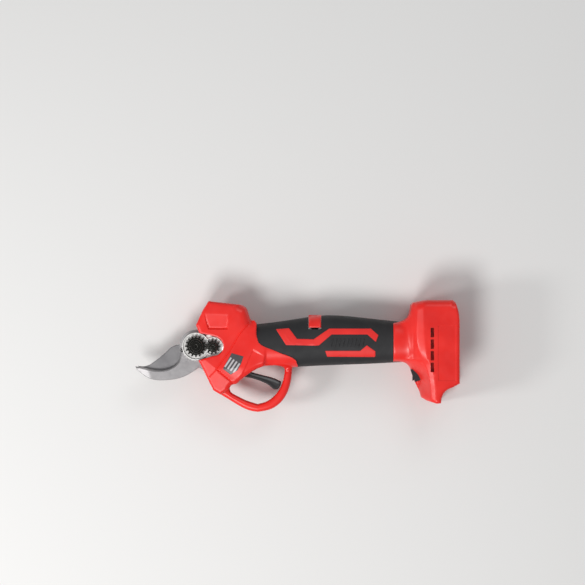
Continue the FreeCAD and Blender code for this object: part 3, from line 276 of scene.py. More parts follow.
BLADE_SPINE = [
    [(2.0, -16.4), (4.0, -4.0)],
    [(4.0, -4.0), (-16.4, 1.6)],
    [(-16.4, 1.6), (-21.2, 0.8), (-31.2, -6.8), (-46.2, -18.3)],
    [(-46.2, -18.3), (-51.2, -20.0), (-58.2, -19.6)],
]
BLADE_EDGE = [
    [(-58.2, -19.6), (-53.0, -24.6), (-40.0, -29.6), (-24.0, -29.4), (-8.0, -22.6), (2.0, -16.4)],
]
TRIGGER = [
    [(40.5, -25.6), (44.0, -23.9), (48.4, -24.6)],
    [(48.4, -24.6), (52.6, -20.4)],
    [(52.6, -20.4), (56.0, -22.6)],
    [(56.0, -22.6), (55.4, -26.0)],
    [(55.4, -26.0), (67.8, -29.2), (78.8, -32.4), (85.0, -35.3)],
    [(85.0, -35.3), (84.4, -38.4), (82.0, -42.6)],
    [(82.0, -42.6), (78.4, -43.1), (73.8, -39.8), (65.8, -35.4), (48.8, -30.9), (42.0, -31.0)],
    [(42.0, -31.0), (39.8, -28.6), (40.5, -25.6)],
]
LABEL = [
    [(35.8, -6.5), (47.6, -9.9)],
    [(47.6, -9.9), (45.3, -16.8)],
    [(45.3, -16.8), (41.8, -23.6)],
    [(41.8, -23.6), (34.8, -28.1)],
    [(34.8, -28.1), (27.0, -22.3)],
    [(27.0, -22.3), (35.8, -6.5)],
]
GRIP = GRIP_TOP + GRIP_REAR + GRIP_BOTTOM + GRIP_FRONT
STRIPE_RIDGE = [[(87.5, 13.8), (94.2, 4.6)]]
HOUSING_WELLS = ((18.0, 36.5), (43.0, 33.5), (25.0, -40.0))
GRIP_WELLS = ((104.0, 19.0), (142.0, 20.0), (188.0, 16.0), (188.0, -10.0), (122.0, -12.0))
FOOT_WELLS = ((228.0, 39.6), (244.0, 39.6), (234.0, -46.6))

# ---- flat outlines ------------------------------------------------------------------------------


def smooth_run(points, step):
    """Natural cubic spline through the points, its parameter the length of the chords so far."""
    p = np.array(points, dtype=float)
    t = np.concatenate([[0.0], np.cumsum(np.hypot(*np.diff(p, axis=0).T))])
    h = np.diff(t)
    inner = np.arange(1, len(p) - 1)
    system = np.eye(len(p))
    system[inner, inner - 1] = h[:-1]
    system[inner, inner] = 2 * (h[:-1] + h[1:])
    system[inner, inner + 1] = h[1:]
    slopes = np.diff(p, axis=0) / h[:, None]
    right = np.zeros_like(p)
    right[1:-1] = 6 * np.diff(slopes, axis=0)
    bend = np.linalg.solve(system, right)
    s = np.linspace(0.0, t[-1], max(2, round(t[-1] / step)) + 1)
    k = np.clip(np.searchsorted(t, s, side="right") - 1, 0, len(p) - 2)
    a = ((t[k + 1] - s) / h[k])[:, None]
    b = 1.0 - a
    cubic = (a ** 3 - a) * bend[k] + (b ** 3 - b) * bend[k + 1]
    return a * p[k] + b * p[k + 1] + cubic * (h[k] ** 2)[:, None] / 6


def line(runs, step=1.0):
    """Evenly spaced points along the runs, end to end."""
    parts = []
    for run in runs:
        if len(run) > 2:
            sampled = smooth_run(run, step)
        else:
            count = max(1, round(math.dist(*run) / step))
            sampled = np.linspace(run[0], run[1], count + 1)
        parts.append(sampled if run is runs[-1] else sampled[:-1])
    return np.vstack(parts)


def loop(runs, step=1.0):
    """A closed outline, its first point not repeated."""
    return line(runs, step)[:-1]


def circle(centre, radius, count=24):
    """centre + radius * (cos a, sin a)."""
    angle = np.arange(count) * (2 * np.pi / count)
    return np.array(centre) + radius * np.column_stack([np.cos(angle), np.sin(angle)])


def sides(corners):
    """The straight runs from each corner to the next, and back to the first."""
    return [list(pair) for pair in zip(corners, corners[1:] + corners[:1])]


def rectangle(x0, x1, y0, y1, step=1.0):
    return loop(sides([(x0, y0), (x1, y0), (x1, y1), (x0, y1)]), step)


def inside(points, closed):
    """True where a ray along +X crosses the closed outline an odd number of times."""
    a = closed
    b = np.roll(closed, -1, axis=0)
    x, y = points[:, :1], points[:, 1:]
    spans = (a[:, 1] > y) != (b[:, 1] > y)
    rise = np.where(b[:, 1] == a[:, 1], 1.0, b[:, 1] - a[:, 1])
    crossing = a[:, 0] + (y - a[:, 1]) * (b[:, 0] - a[:, 0]) / rise
    return (np.sum(spans & (x < crossing), axis=1) % 2) == 1


def distance(points, starts, ends):
    """Shortest distance from each point to any of the straight pieces."""
    along = ends - starts
    length = np.maximum(np.sum(along ** 2, axis=1), 1e-12)
    nearest = []
    for block in np.array_split(points, max(1, len(points) // 1500)):
        offset = block[:, None, :] - starts[None, :, :]
        share = np.clip(np.sum(offset * along, axis=2) / length, 0.0, 1.0)
        gap = offset - share[:, :, None] * along
        nearest.append(np.sqrt(np.min(np.sum(gap ** 2, axis=2), axis=1)))
    return np.concatenate(nearest)


def to_loop(points, closed):
    return distance(points, closed, np.roll(closed, -1, axis=0))


def to_line(points, runs):
    """Distance from each point to an open line of runs."""
    sampled = line(runs)
    return distance(points, sampled[:-1], sampled[1:])


def triangles_in(points, edges, keep):
    """Constrained Delaunay triangles, anticlockwise, whose middles the test keeps."""
    found = delaunay_2d_cdt(points.tolist(), edges.tolist(), [], 0, 1e-5)
    xy = np.array(found[0])
    tri = np.array(found[2])
    a, b, c = xy[tri[:, 0]], xy[tri[:, 1]], xy[tri[:, 2]]
    turn = (b[:, 0] - a[:, 0]) * (c[:, 1] - a[:, 1]) - (b[:, 1] - a[:, 1]) * (c[:, 0] - a[:, 0])
    tri[turn < 0] = tri[turn < 0][:, ::-1]
    tri = tri[np.abs(turn) > 1e-9]
    return xy, tri[keep(xy[tri].mean(axis=1))]


def border_of(tri):
    """Directed edges that only one triangle has, with the surface on their left."""
    edges = np.vstack([tri[:, [0, 1]], tri[:, [1, 2]], tri[:, [2, 0]]])
    ordered = np.sort(edges, axis=1)
    _, first, count = np.unique(ordered, axis=0, return_index=True, return_counts=True)
    return edges[first[count == 1]]


def fill(loops, keep, rounding=3.0, spacing=1.0, creases=()):
    """Points and triangles over an area: its border, rows that follow the border, and a grid.

    Row k lies rounding * (1 - cos(k / rows * 90 degrees)) inside the border, so a quarter-round edge
    gets evenly turned facets. Each crease has a row of points along it and one to each side.
    """
    starts = np.cumsum([0] + [len(closed) for closed in loops])
    edges = np.vstack([
        np.column_stack([np.arange(a, b), np.roll(np.arange(a, b), -1)])
        for a, b in zip(starts[:-1], starts[1:])
    ])
    xy, tri = triangles_in(np.vstack(loops), edges, keep)
    border = border_of(tri)
    used, flat = np.unique(border, return_inverse=True)
    rim = xy[used]
    rim_edges = flat.reshape(-1, 2)
    a, b = rim[rim_edges[:, 0]], rim[rim_edges[:, 1]]
    side = (b - a) / np.maximum(np.hypot(*(b - a).T), 1e-9)[:, None]
    normal = np.column_stack([-side[:, 1], side[:, 0]])
    corner = np.zeros_like(rim)
    np.add.at(corner, rim_edges[:, 0], normal)
    np.add.at(corner, rim_edges[:, 1], normal)
    corner = corner / np.maximum(np.hypot(*corner.T), 1e-9)[:, None]
    rows = max(2, round(rounding * 1.4))
    free = []
    for row in range(1, rows + 1):
        depth = rounding * (1 - math.cos(math.pi / 2 * row / rows))
        source = (a + b) / 2 + normal * depth if row % 2 else rim + corner * depth
        free.append(source[distance(source, a, b) > 0.75 * depth])
    low, high = rim.min(axis=0), rim.max(axis=0)
    gx, gy = np.meshgrid(np.arange(low[0], high[0], spacing), np.arange(low[1], high[1], spacing * 0.87))
    gx = gx + (np.arange(len(gx)) % 2)[:, None] * spacing / 2
    grid = np.column_stack([gx.ravel(), gy.ravel()])
    grid = grid[keep(grid)]
    grid = grid[distance(grid, a, b) > rounding + spacing * 0.4]
    for crease in creases:
        ridge = line(crease, spacing * 0.8)
        heading = np.gradient(ridge, axis=0)
        heading = heading / np.hypot(*heading.T)[:, None]
        across = np.column_stack([-heading[:, 1], heading[:, 0]]) * CREASE_HALF
        both = np.vstack([ridge + across, ridge, ridge - across])
        grid = grid[distance(grid, ridge[:-1], ridge[1:]) > spacing * 0.7]
        free = [row[distance(row, ridge[:-1], ridge[1:]) > 0.5] for row in free]
        both = both[keep(both)]
        free.append(both[distance(both, a, b) > 0.4])
    free.append(grid)
    xy, tri = triangles_in(np.vstack([rim] + free), rim_edges, keep)
    return xy, tri, distance(xy, a, b)


def area(runs, holes=(), rounding=3.0, spacing=1.0, creases=(), step=1.0):
    """The filled outline with its holes left out."""
    outer = loop(runs, step)

    def keep(points):
        kept = inside(points, outer)
        for hole in holes:
            kept &= ~inside(points, hole)
        return kept

    return fill([outer] + list(holes), keep, rounding, spacing, creases)


# ---- heights ------------------------------------------------------------------------------------


def drop(depth, radius):
    """How far a quarter-round edge lies under its level: r - sqrt(r^2 - (r - depth)^2)."""
    reach = np.clip(radius - np.where(depth < BORDER_TOUCH, 0.0, depth), 0.0, radius)
    return radius - np.sqrt(np.maximum(radius ** 2 - reach ** 2, 0.0))


def ease(value):
    """Smooth step from 0 to 1: 3 t^2 - 2 t^3."""
    t = np.clip(value, 0.0, 1.0)
    return t * t * (3 - 2 * t)


def higher(a, b, blend):
    """The greater of two heights, filleted where they cross: (a + b + sqrt((a - b)^2 + k^2)) / 2."""
    return (a + b + np.sqrt((a - b) ** 2 + blend ** 2)) / 2


def lower(a, b, blend):
    """The lesser of two heights, filleted in the same way."""
    return -higher(-a, -b, blend)


def grip_height(points, lift=0.0):
    """Half a superellipse across the grip: |y / half height|^n + (z / half width)^n = 1."""
    top = line(GRIP_TOP)
    bottom = line(GRIP_BOTTOM)[::-1]
    high = np.interp(points[:, 0], top[:, 0], top[:, 1]) + lift
    low = np.interp(points[:, 0], bottom[:, 0], bottom[:, 1]) - lift
    share = np.clip(np.abs(points[:, 1] - (high + low) / 2) / ((high - low) / 2), 0.0, 1.0)
    return (GRIP_HALF + lift) * (1 - share ** GRIP_POWER) ** (1 / GRIP_POWER)


# ---- solids -------------------------------------------------------------------------------------


def slab(region, top, bottom):
    """A closed solid over an area, between two heights, as points, triangles and quads.

    Its wall has a narrow upper band, which keeps the shading of the rounded edge off the wall below.
    """
    xy, tri, _ = region
    count = len(xy)
    bottom = np.minimum(bottom, top - THINNEST)
    border = border_of(tri)
    rim = np.unique(border)
    band = top[rim] - np.minimum(WALL_BAND, (top[rim] - bottom[rim]) / 3)
    verts = np.vstack([
        np.column_stack([xy, top]),
        np.column_stack([xy, bottom]),
        np.column_stack([xy[rim], band]),
    ])
    a, b = border.T
    a_band = 2 * count + np.searchsorted(rim, a)
    b_band = 2 * count + np.searchsorted(rim, b)
    upper = np.column_stack([a, a_band, b_band, b])
    under = np.column_stack([a_band, a + count, b + count, b_band])
    return verts, np.vstack([tri, tri[:, ::-1] + count]), np.vstack([upper, under])


def joined(solids):
    """Several solids as one: their points and faces one after another."""
    bases = np.cumsum([0] + [len(solid[0]) for solid in solids])
    verts = np.vstack([solid[0] for solid in solids])
    tris = np.vstack([solid[1] + base for solid, base in zip(solids, bases)])
    quads = np.vstack([solid[2] + base for solid, base in zip(solids, bases)])
    return verts, tris, quads


def other_side(solid):
    """The mirror image in the seam, its faces turned round so that they still point outwards."""
    verts, tris, quads = solid
    return verts * (1, 1, -1), tris[:, ::-1], quads[:, ::-1]


def on_side(solid, side):
    return solid if side > 0 else other_side(solid)


def stood_up(solid):
    """Swaps Y and Z, for a solid whose outline was drawn in the XZ plane."""
    verts, tris, quads = solid
    return verts[:, [0, 2, 1]], tris[:, ::-1], quads[:, ::-1]


def add_piece(name, solid, body, slot, nodes=(), crease=32.0):
    """Makes the object, with sharp edges where faces turn by more than crease degrees."""
    verts, tris, quads = solid
    mesh = bpy.data.meshes.new(name)
    mesh.from_pydata(((verts + PIVOT) * MM).tolist(), [], tris.tolist() + quads.tolist())
    mesh.update()
    mesh.shade_smooth()
    mesh.set_sharp_from_angle(angle=math.radians(crease))
    mesh.materials.append(finish(slot))
    piece = bpy.data.objects.new(name, mesh)
    bpy.context.collection.objects.link(piece)
    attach(piece, body)
    if nodes:
        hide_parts(*nodes)


# ---- materials ----------------------------------------------------------------------------------


def linear(code):
    """An sRGB hex colour as linear RGBA."""
    values = np.array([int(code[i:i + 2], 16) for i in (1, 3, 5)]) / 255
    shaped = np.where(values <= 0.04045, values / 12.92, ((values + 0.055) / 1.055) ** 2.4)
    return (*shaped.tolist(), 1.0)


def add(tree, kind, inputs=None, **settings):
    """Adds a node; an input is either a value or the socket it is linked from."""
    node = tree.nodes.new(kind)
    for name, value in settings.items():
        setattr(node, name, value)
    for name, value in (inputs or {}).items():
        if isinstance(value, bpy.types.NodeSocket):
            tree.links.new(value, node.inputs[name])
        else:
            node.inputs[name].default_value = value
    return node


def per_mm(size):
    """Texture scale that gives a pattern of this size in millimetres."""
    return 1 / (size * MM)


def bands(period):
    """Wave scale that repeats every period in millimetres: one wave is pi / 10 of a unit long."""
    return math.pi / 10 / (period * MM)


def start(name):
    """A new material with its tree, its shader and object coordinates."""
    material = bpy.data.materials.new(name)
    material.use_nodes = True
    tree = material.node_tree
    shader = next(node for node in tree.nodes if node.type == "BSDF_PRINCIPLED")
    place = add(tree, "ShaderNodeTexCoord").outputs["Object"]
    return material, tree, shader, place


def mixed(tree, factor, dark, light):
    """Colour that goes from dark to light with a factor; each is a hex code, a colour or a socket."""
    mix = add(tree, "ShaderNodeMix", {"Factor": factor}, data_type="RGBA")
    for index, value in ((6, dark), (7, light)):
        if isinstance(value, bpy.types.NodeSocket):
            tree.links.new(value, mix.inputs[index])
        else:
            mix.inputs[index].default_value = linear(value) if isinstance(value, str) else (*value, 1.0)
    return mix.outputs[2]


def spread(tree, value, low, high, start_at=0.3, end_at=0.7):
    """A texture value carried to a range."""
    settings = {"Value": value, "From Min": start_at, "From Max": end_at, "To Min": low, "To Max": high}
    return add(tree, "ShaderNodeMapRange", settings).outputs[0]


def edge_wear_and_highlight(tree, width):
    """0 on flats and 1 within a width in millimetres of a corner: real polish from handling, and a painted
    highlight.
    """
    soft = add(tree, "ShaderNodeBevel", {"Radius": width * MM}, samples=6)
    flat = add(tree, "ShaderNodeNewGeometry")
    turn = add(tree, "ShaderNodeVectorMath", {0: soft.outputs[0], 1: flat.outputs["Normal"]},
               operation="DOT_PRODUCT")
    return spread(tree, turn.outputs["Value"], 1.0, 0.0, 0.8, 0.97)


def moulded(name, dark, light, rough, grain_mm, grain_depth, wear_and_highlight=None):
    """Moulded plastic: spark-eroded grain, a faint change of shade, and corners lighter with polish and a
    painted highlight.
    """
    material, tree, shader, place = start(name)
    cloud = add(tree, "ShaderNodeTexNoise", {"Vector": place, "Scale": per_mm(28.0), "Detail": 3.0})
    colour = mixed(tree, spread(tree, cloud.outputs[0], 0.0, 1.0), dark, light)
    # Lighter corners: wear from handling and a painted highlight.
    if wear_and_highlight:
        colour = mixed(tree, edge_wear_and_highlight(tree, 0.5), colour, wear_and_highlight)
    grain = add(tree, "ShaderNodeTexNoise", {"Vector": place, "Scale": per_mm(grain_mm), "Detail": 4.0})
    bump = add(tree, "ShaderNodeBump", {
        "Height": grain.outputs[0], "Strength": 0.35, "Distance": grain_depth * MM,
    })
    smear = add(tree, "ShaderNodeTexNoise", {"Vector": place, "Scale": per_mm(9.0), "Detail": 5.0})
    tree.links.new(colour, shader.inputs["Base Color"])
    tree.links.new(spread(tree, smear.outputs[0], rough - 0.05, rough + 0.07), shader.inputs["Roughness"])
    tree.links.new(bump.outputs[0], shader.inputs["Normal"])
    shader.inputs["IOR"].default_value = 1.5
    return material


def colours():
    """The scene's colour properties."""
    return bpy.context.scene.pruner_colours


def shell_nylon():
    """Glass-filled nylon, moulded red: satin, with a fine spark grain that breaks the highlights.

    The real grain is about 0.05 mm; it is drawn at 0.4 mm so that it shows.
    """
    shade, tint = colours().shell_shade, colours().shell
    # FF5A50 is the corners' colour: wear and a painted highlight.
    return moulded("red_glass_filled_nylon", shade, tint, 0.33, 0.4, 0.015, "#FF5A50")


def grip_rubber():
    """Black thermoplastic rubber over the handle: matt, its corners a little grey with wear and a painted
    highlight.
    """
    shade, tint = colours().grip_shade, colours().grip
    return moulded("black_soft_grip_rubber", shade, tint, 0.62, 0.35, 0.05, "#38383C")


def inlay_rubber():
    """Red soft rubber inlay: flatter and duller than the shells."""
    shade, tint = colours().inlay_shade, colours().inlay
    return moulded("red_soft_inlay_rubber", shade, tint, 0.5, 0.35, 0.03)


def switch_plastic():
    """Black ABS: a harder, slightly glossier black than the grip."""
    # 3C3C40 is the corners' colour: wear and a painted highlight.
    return moulded("black_moulded_abs", "#19191B", "#222225", 0.46, 0.5, 0.02, "#3C3C40")


def label_film():
    """Printed polyester film: dark grey and slightly glossy, with one block of plain light bars."""
    material, tree, shader, place = start("printed_label_film")
    centre = ((PIVOT[0] + 37.5) * MM, (PIVOT[1] - 17.0) * MM, 0.0)
    turned = add(tree, "ShaderNodeMapping", {
        "Vector": place, "Location": centre, "Rotation": (0.0, 0.0, math.radians(56.0)),
    }, vector_type="TEXTURE")
    axes = add(tree, "ShaderNodeSeparateXYZ", {"Vector": turned.outputs[0]})
    bars = add(tree, "ShaderNodeTexWave", {
        "Vector": turned.outputs[0], "Scale": bands(3.4),
    }, wave_type="BANDS", bands_direction="Y")
    bar = spread(tree, bars.outputs["Fac"], 0.0, 1.0, 0.45, 0.6)
    low = spread(tree, axes.outputs["X"], 0.0, 1.0, -0.0078, -0.0074)
    high = spread(tree, axes.outputs["X"], 1.0, 0.0, 0.0034, 0.0038)
    part = add(tree, "ShaderNodeMath", {0: low, 1: high}, operation="MULTIPLY")
    shown = add(tree, "ShaderNodeMath", {0: part.outputs[0], 1: bar}, operation="MULTIPLY")
    colour = mixed(tree, shown.outputs[0], "#4E4A4C", "#BDB8BA")
    tree.links.new(colour, shader.inputs["Base Color"])
    shader.inputs["Roughness"].default_value = 0.32
    return material


def metal(name, dark, light, rough, mark_mm, stretch, depth, edge_mm=0.0, wear_and_highlight=None):
    """Metal with a surface left by its making: marks stretched along one axis, and softened corners."""
    material, tree, shader, place = start(name)
    turned = add(tree, "ShaderNodeMapping", {"Vector": place, "Scale": stretch}, vector_type="POINT")
    marks = add(tree, "ShaderNodeTexNoise", {
        "Vector": turned.outputs[0], "Scale": per_mm(mark_mm), "Detail": 6.0, "Roughness": 0.65,
    })
    cloud = add(tree, "ShaderNodeTexNoise", {"Vector": place, "Scale": per_mm(14.0), "Detail": 3.0})
    colour = mixed(tree, spread(tree, cloud.outputs[0], 0.0, 1.0), dark, light)
    # Lighter corners: wear from handling and a painted highlight.
    if wear_and_highlight:
        colour = mixed(tree, edge_wear_and_highlight(tree, 0.3), colour, wear_and_highlight)
    bump_inputs = {"Height": marks.outputs[0], "Strength": 0.4, "Distance": depth * MM}
    if edge_mm:
        soft = add(tree, "ShaderNodeBevel", {"Radius": edge_mm * MM}, samples=6)
        bump_inputs["Normal"] = soft.outputs[0]
    bump = add(tree, "ShaderNodeBump", bump_inputs)
    tree.links.new(colour, shader.inputs["Base Color"])
    tree.links.new(spread(tree, marks.outputs[0], rough - 0.08, rough + 0.1), shader.inputs["Roughness"])
    tree.links.new(bump.outputs[0], shader.inputs["Normal"])
    shader.inputs["Metallic"].default_value = 1.0
    return material


def hook_steel():
    """Tool steel ground flat and lightly blasted: pale, with grinding lines along the jaw."""
    return metal("satin_ground_steel", "#A6A3A4", "#B9B6B6", 0.4, 0.7, (0.25, 1.0, 1.0), 0.012)


def blade_steel():
    """The same ground steel in a darker, duller grey than the hook, which sets this blade off from it."""
    return metal("dark_ground_steel", "#858385", "#969495", 0.4, 0.6, (0.2, 1.0, 1.0), 0.01)


def cast_aluminium():
    """Die-cast aluminium, tumbled smooth: nearly white, so that its rim stands out from the shell."""
    return metal("polished_die_cast_aluminium", "#D2D0CD", "#EEECE9", 0.48, 3.0, (1, 1, 1), 0.03, 0.6)


def oxide_steel():
    """Black-oxide gear steel, with brighter metal on the corners of the teeth: worn metal and a painted
    highlight.
    """
    return metal("black_oxide_steel", "#232321", "#33322F", 0.34, 0.5, (1, 1, 1), 0.01, 0.3, "#C4C1BB")


def machined_steel():
    """Turned steel: the brightest of the steels, its highlights drawn out along fine tool marks."""
    return metal("machined_steel", "#A9A8A8", "#C6C5C5", 0.28, 0.4, (1, 0.3, 1), 0.008, 0.2)


def zinc_steel():
    """Zinc-plated steel: cool grey with a slightly mottled plate."""
    return metal("zinc_plated_steel", "#9DA1A6", "#BFC2C6", 0.35, 1.2, (1, 1, 1), 0.015, 0.2)


def sintered_bronze():
    """Oil-filled sintered bronze: matt brown gold with fine pores."""
    return metal("sintered_bronze", "#8A6A3A", "#B08D52", 0.45, 0.3, (1, 1, 1), 0.03, 0.15)


def lamination_stack():
    """Stamped electrical steel, 0.5 mm sheets along the motor: fine light and dark grey lines."""
    material, tree, shader, place = start("lamination_stack")
    sheets = add(tree, "ShaderNodeTexWave", {"Vector": place, "Scale": bands(0.5)},
                 wave_type="BANDS", bands_direction="X")
    colour = mixed(tree, sheets.outputs["Fac"], "#4A4A4E", "#8E8E92")
    bump = add(tree, "ShaderNodeBump", {
        "Height": sheets.outputs["Fac"], "Strength": 0.6, "Distance": 0.1 * MM,
    })
    tree.links.new(colour, shader.inputs["Base Color"])
    tree.links.new(bump.outputs[0], shader.inputs["Normal"])
    shader.inputs["Metallic"].default_value = 1.0
    shader.inputs["Roughness"].default_value = 0.45
    return material


def enamelled_copper():
    """Copper wire under clear enamel, 0.6 mm strands side by side: glossy, with painted shade that turns the
    grooves brown.
    """
    material, tree, shader, place = start("enamelled_copper")
    strands = add(tree, "ShaderNodeTexWave", {"Vector": place, "Scale": bands(0.6)},
                  wave_type="BANDS", bands_direction="DIAGONAL")
    # The darker brown of the grooves is painted shade.
    colour = mixed(tree, strands.outputs["Fac"], "#7E3A1C", "#C87A45")
    bump = add(tree, "ShaderNodeBump", {
        "Height": strands.outputs["Fac"], "Strength": 0.8, "Distance": 0.2 * MM,
    })
    tree.links.new(colour, shader.inputs["Base Color"])
    tree.links.new(bump.outputs[0], shader.inputs["Normal"])
    shader.inputs["Metallic"].default_value = 1.0
    shader.inputs["Roughness"].default_value = 0.3
    return material


def nickel_plate():
    """Nickel-plated magnet: bright and slightly warm."""
    return metal("nickel_plate", "#9A9893", "#B9B6B0", 0.2, 1.5, (1, 1, 1), 0.01, 0.2)


def solder_mask():
    """Green solder mask over copper tracks: raised lines of a lighter green round square cells."""
    material, tree, shader, place = start("green_solder_mask")
    tracks = add(tree, "ShaderNodeTexVoronoi", {"Vector": place, "Scale": per_mm(3.0)},
                 feature="DISTANCE_TO_EDGE", distance="CHEBYCHEV")
    track = spread(tree, tracks.outputs["Distance"], 1.0, 0.0, 0.05, 0.09)
    colour = mixed(tree, track, "#0E5A33", "#2F8A55")
    bump = add(tree, "ShaderNodeBump", {"Height": track, "Strength": 0.5, "Distance": 0.06 * MM})
    tree.links.new(colour, shader.inputs["Base Color"])
    tree.links.new(bump.outputs[0], shader.inputs["Normal"])
    shader.inputs["Roughness"].default_value = 0.25
    return material


def lead_insulation():
    """Silicone wire insulation: soft red with a dull sheen."""
    return moulded("red_silicone_insulation", "#A3120D", "#B51A14", 0.5, 0.8, 0.02)


MAKERS = {
    "red_shell": shell_nylon,
    "black_grip": grip_rubber,
    "red_inlay": inlay_rubber,
    "label": label_film,
    "black_plastic": switch_plastic,
    "cast_aluminium": cast_aluminium,
    "blade_steel": hook_steel,
    "dark_blade_steel": blade_steel,
    "gear_steel": oxide_steel,
    "bright_steel": machined_steel,
    "zinc_steel": zinc_steel,
    "bronze": sintered_bronze,
    "laminations": lamination_stack,
    "copper": enamelled_copper,
    "magnet": nickel_plate,
    "board": solder_mask,
    "lead_insulation": lead_insulation,
}
FINISHES = {}


def finish(slot):
    """The slot's material, made the first time it is asked for."""
    if slot not in FINISHES:
        FINISHES[slot] = MAKERS[slot]()
    return FINISHES[slot]


# ---- head shells --------------------------------------------------------------------------------


def crease_side(points, crease, upright):
    """Signed distance from a nearly straight crease, carried on past its ends; positive to its right
    or above it.
    """
    sampled = line(crease)
    before = sampled[0] + 90 * (sampled[0] - sampled[1])
    after = sampled[-1] + 90 * (sampled[-1] - sampled[-2])
    sampled = np.vstack([before, sampled, after])
    near, far = (1, 0) if upright else (0, 1)
    order = np.argsort(sampled[:, near])
    edge = np.interp(points[:, near], sampled[order, near], sampled[order, far])
    ends = sampled[-1] - sampled[0]
    return (points[:, far] - edge) * abs(ends[near]) / np.hypot(*ends)


def head_height(points, sizes):
    """Nose level, a raised rear plateau behind two creases, and quarter-round edges of several sizes.

    Behind the long crease the surface steps up and then climbs; below the cross crease it falls away
    to the guard. Both creases have a fine groove. Over the grip it follows the grip's section 1 mm
    proud, and the pocket is cut from it with a groove at the foot of its wall.
    """
    right = crease_side(points, LONG_CREASE, True)
    above = crease_side(points, CROSS_CREASE, False)
    within = np.minimum(right, above)
    level = NOSE_LEVEL + sizes.crease_step / MM * ease(within / 1.1)
    level = level + PLATEAU_RISE * ease(within / PLATEAU_RUN)
    level = level - GROOVE_DEPTH * np.exp(-(within / GROOVE_HALF) ** 2) * (points[:, 0] < TAIL_START)
    below = np.maximum(-above, 0.0)
    level = level - NOSE_FALL * below + LOWER_STEP * ease(right) * ease(below)
    corner = np.minimum(crease_side(points, [[(52.8, -11.8), (56.8, -2.8)]], True),
                        -crease_side(points, [[(56.8, -2.8), (70.8, -10.4)]], False))
    level = level - NECK_STEP * ease(corner / 0.8) * (1 - ease((points[:, 0] - 56) / NECK_RUN))
    edges = (
        (NOSE_CUT_OUT, 1.1),
        (HUMP_FRONT, sizes.edge_rounding / MM),
        (HUMP_SHOULDER, sizes.shoulder_rounding / MM),
        (HUMP_NECK, 2.0),
        (GRIP_BORDER, 0.9),
        (LOOP_CEILING, 5.0),
        (NOSE_CORNER, 3.0),
        (LOWER_NOSE, 2.4),
    )
    fall = np.max([drop(to_line(points, runs), radius) for runs, radius in edges], axis=0)
    tail = grip_height(points, 1.0) + 40 * (1 - ease((points[:, 0] - TAIL_START) / TAIL_RUN))
    surface = lower(level - fall, tail, 0.8)
    rim = loop(POCKET)
    depth = inside(points, rim) * ease(to_loop(points, rim) / POCKET_WALL)
    ramp = np.clip((POCKET_TOP - points[:, 1]) / POCKET_RAMP, 0.0, 1.0)
    foot_of_wall = np.exp(-((to_line(points, POCKET[:3]) - 1.1) / 0.5) ** 2) * inside(points, rim)
    return surface - (sizes.pocket_depth / MM * depth + POCKET_GROOVE * foot_of_wall) * ramp


def shell_height(points, depth, sizes):
    """The head where it stands, filleted into the half-round guard, with a seam across the guard."""
    head = np.where(inside(points, loop(HEAD)), head_height(points, sizes), -4.0)
    guard = GUARD_HALF - drop(depth, GUARD_ROUNDING)
    surface = higher(head, guard, 1.6)
    joint = np.exp(-((points[:, 1] - GUARD_JOINT_Y) / 0.35) ** 2) * (points[:, 0] > GUARD_JOINT_X)
    return surface - 0.5 * joint


def housing(side, sizes):
    """One head shell: outside as shell_height, inside one wall lower, open where parts pass through."""
    wells = [circle(place, SCREW_WELL_R) for place in HOUSING_WELLS] if side < 0 else []
    holes = [loop(FINGER_LOOP)] + wells
    creases = (LONG_CREASE, CROSS_CREASE, POCKET[:3], POCKET[3:4], [LOOP_CEILING[0]],
               NOSE_CORNER[:1], [[(88.0, GUARD_JOINT_Y), (96.0, GUARD_JOINT_Y)]])
    region = area(SHELL, holes, 4.0, 0.9, creases)
    points, _, depth = region
    top = shell_height(points, depth, sizes)
    wall = sizes.wall / MM
    cut_gap, slot_gap = (12.8, 6.4) if side > 0 else (14.6, 4.9)
    x, y = points.T
    base = np.full(len(points), SEAM)
    base = np.where((x < 14) & (y > -26.6) & (y < -10), slot_gap, base)
    base = np.where(np.hypot(x, y) < PIVOT_ROOM, slot_gap, base)
    base = np.where((x > 38) & (x < 64) & (y < -16) & (y > -36), TRIGGER_SLOT_GAP, base)
    base = np.where(to_line(points, NOSE_CUT_OUT) < 3.0, cut_gap, base)
    bottom = np.where(depth < wall, base, np.maximum(base, top - wall))
    return on_side(slab(region, top, bottom), side)


def label_plate(sizes):
    """The film follows the shell 0.3 mm proud."""
    region = area(LABEL, (), 0.6, 0.8)
    points, _, depth = region
    under = head_height(points, sizes)
    return slab(region, under + 0.3 - drop(depth, 0.25), under - 0.3)


# ---- grip ---------------------------------------------------------------------------------------


def grip_shell(side, sizes):
    """Half of the grip: its section less a thumb scoop, notched for the button, one wall thick."""
    x0, x1, y0 = WINDOW
    wells = [circle(place, SCREW_WELL_R) for place in GRIP_WELLS] if side < 0 else []
    region = area(GRIP, [rectangle(x0, x1, y0, 40.0)] + wells, 9.0, 1.3)
    points = region[0]
    top = np.maximum(grip_height(points), SEAM + 0.3)
    scoop = np.exp(-(((points[:, 0] - 104) / 12) ** 2 + ((points[:, 1] - 22) / 5.5) ** 2))
    top = top - 0.9 * scoop * (points[:, 0] < x0)
    wall = sizes.wall / MM
    bottom = np.where(to_loop(points, loop(GRIP)) < wall, SEAM, np.maximum(top - wall, SEAM))
    return on_side(slab(region, top, bottom), side)


def word_ribs(side):
    """Slanted raised bars that follow the grip 0.45 mm proud."""
    solids = []
    for index in range(RIB_COUNT):
        x = RIB_START + RIB_PITCH * index
        runs = sides([(x, -0.4), (x + 1.7, -0.4), (x + 3.9, 7.8), (x + 2.2, 7.8)])
        region = area(runs, (), 0.5, 0.8, (), 0.7)
        points, _, depth = region
        under = grip_height(points)
        solids.append(slab(region, under + 0.45 - drop(depth, 0.3), under - 0.3))
    return on_side(joined(solids), side)


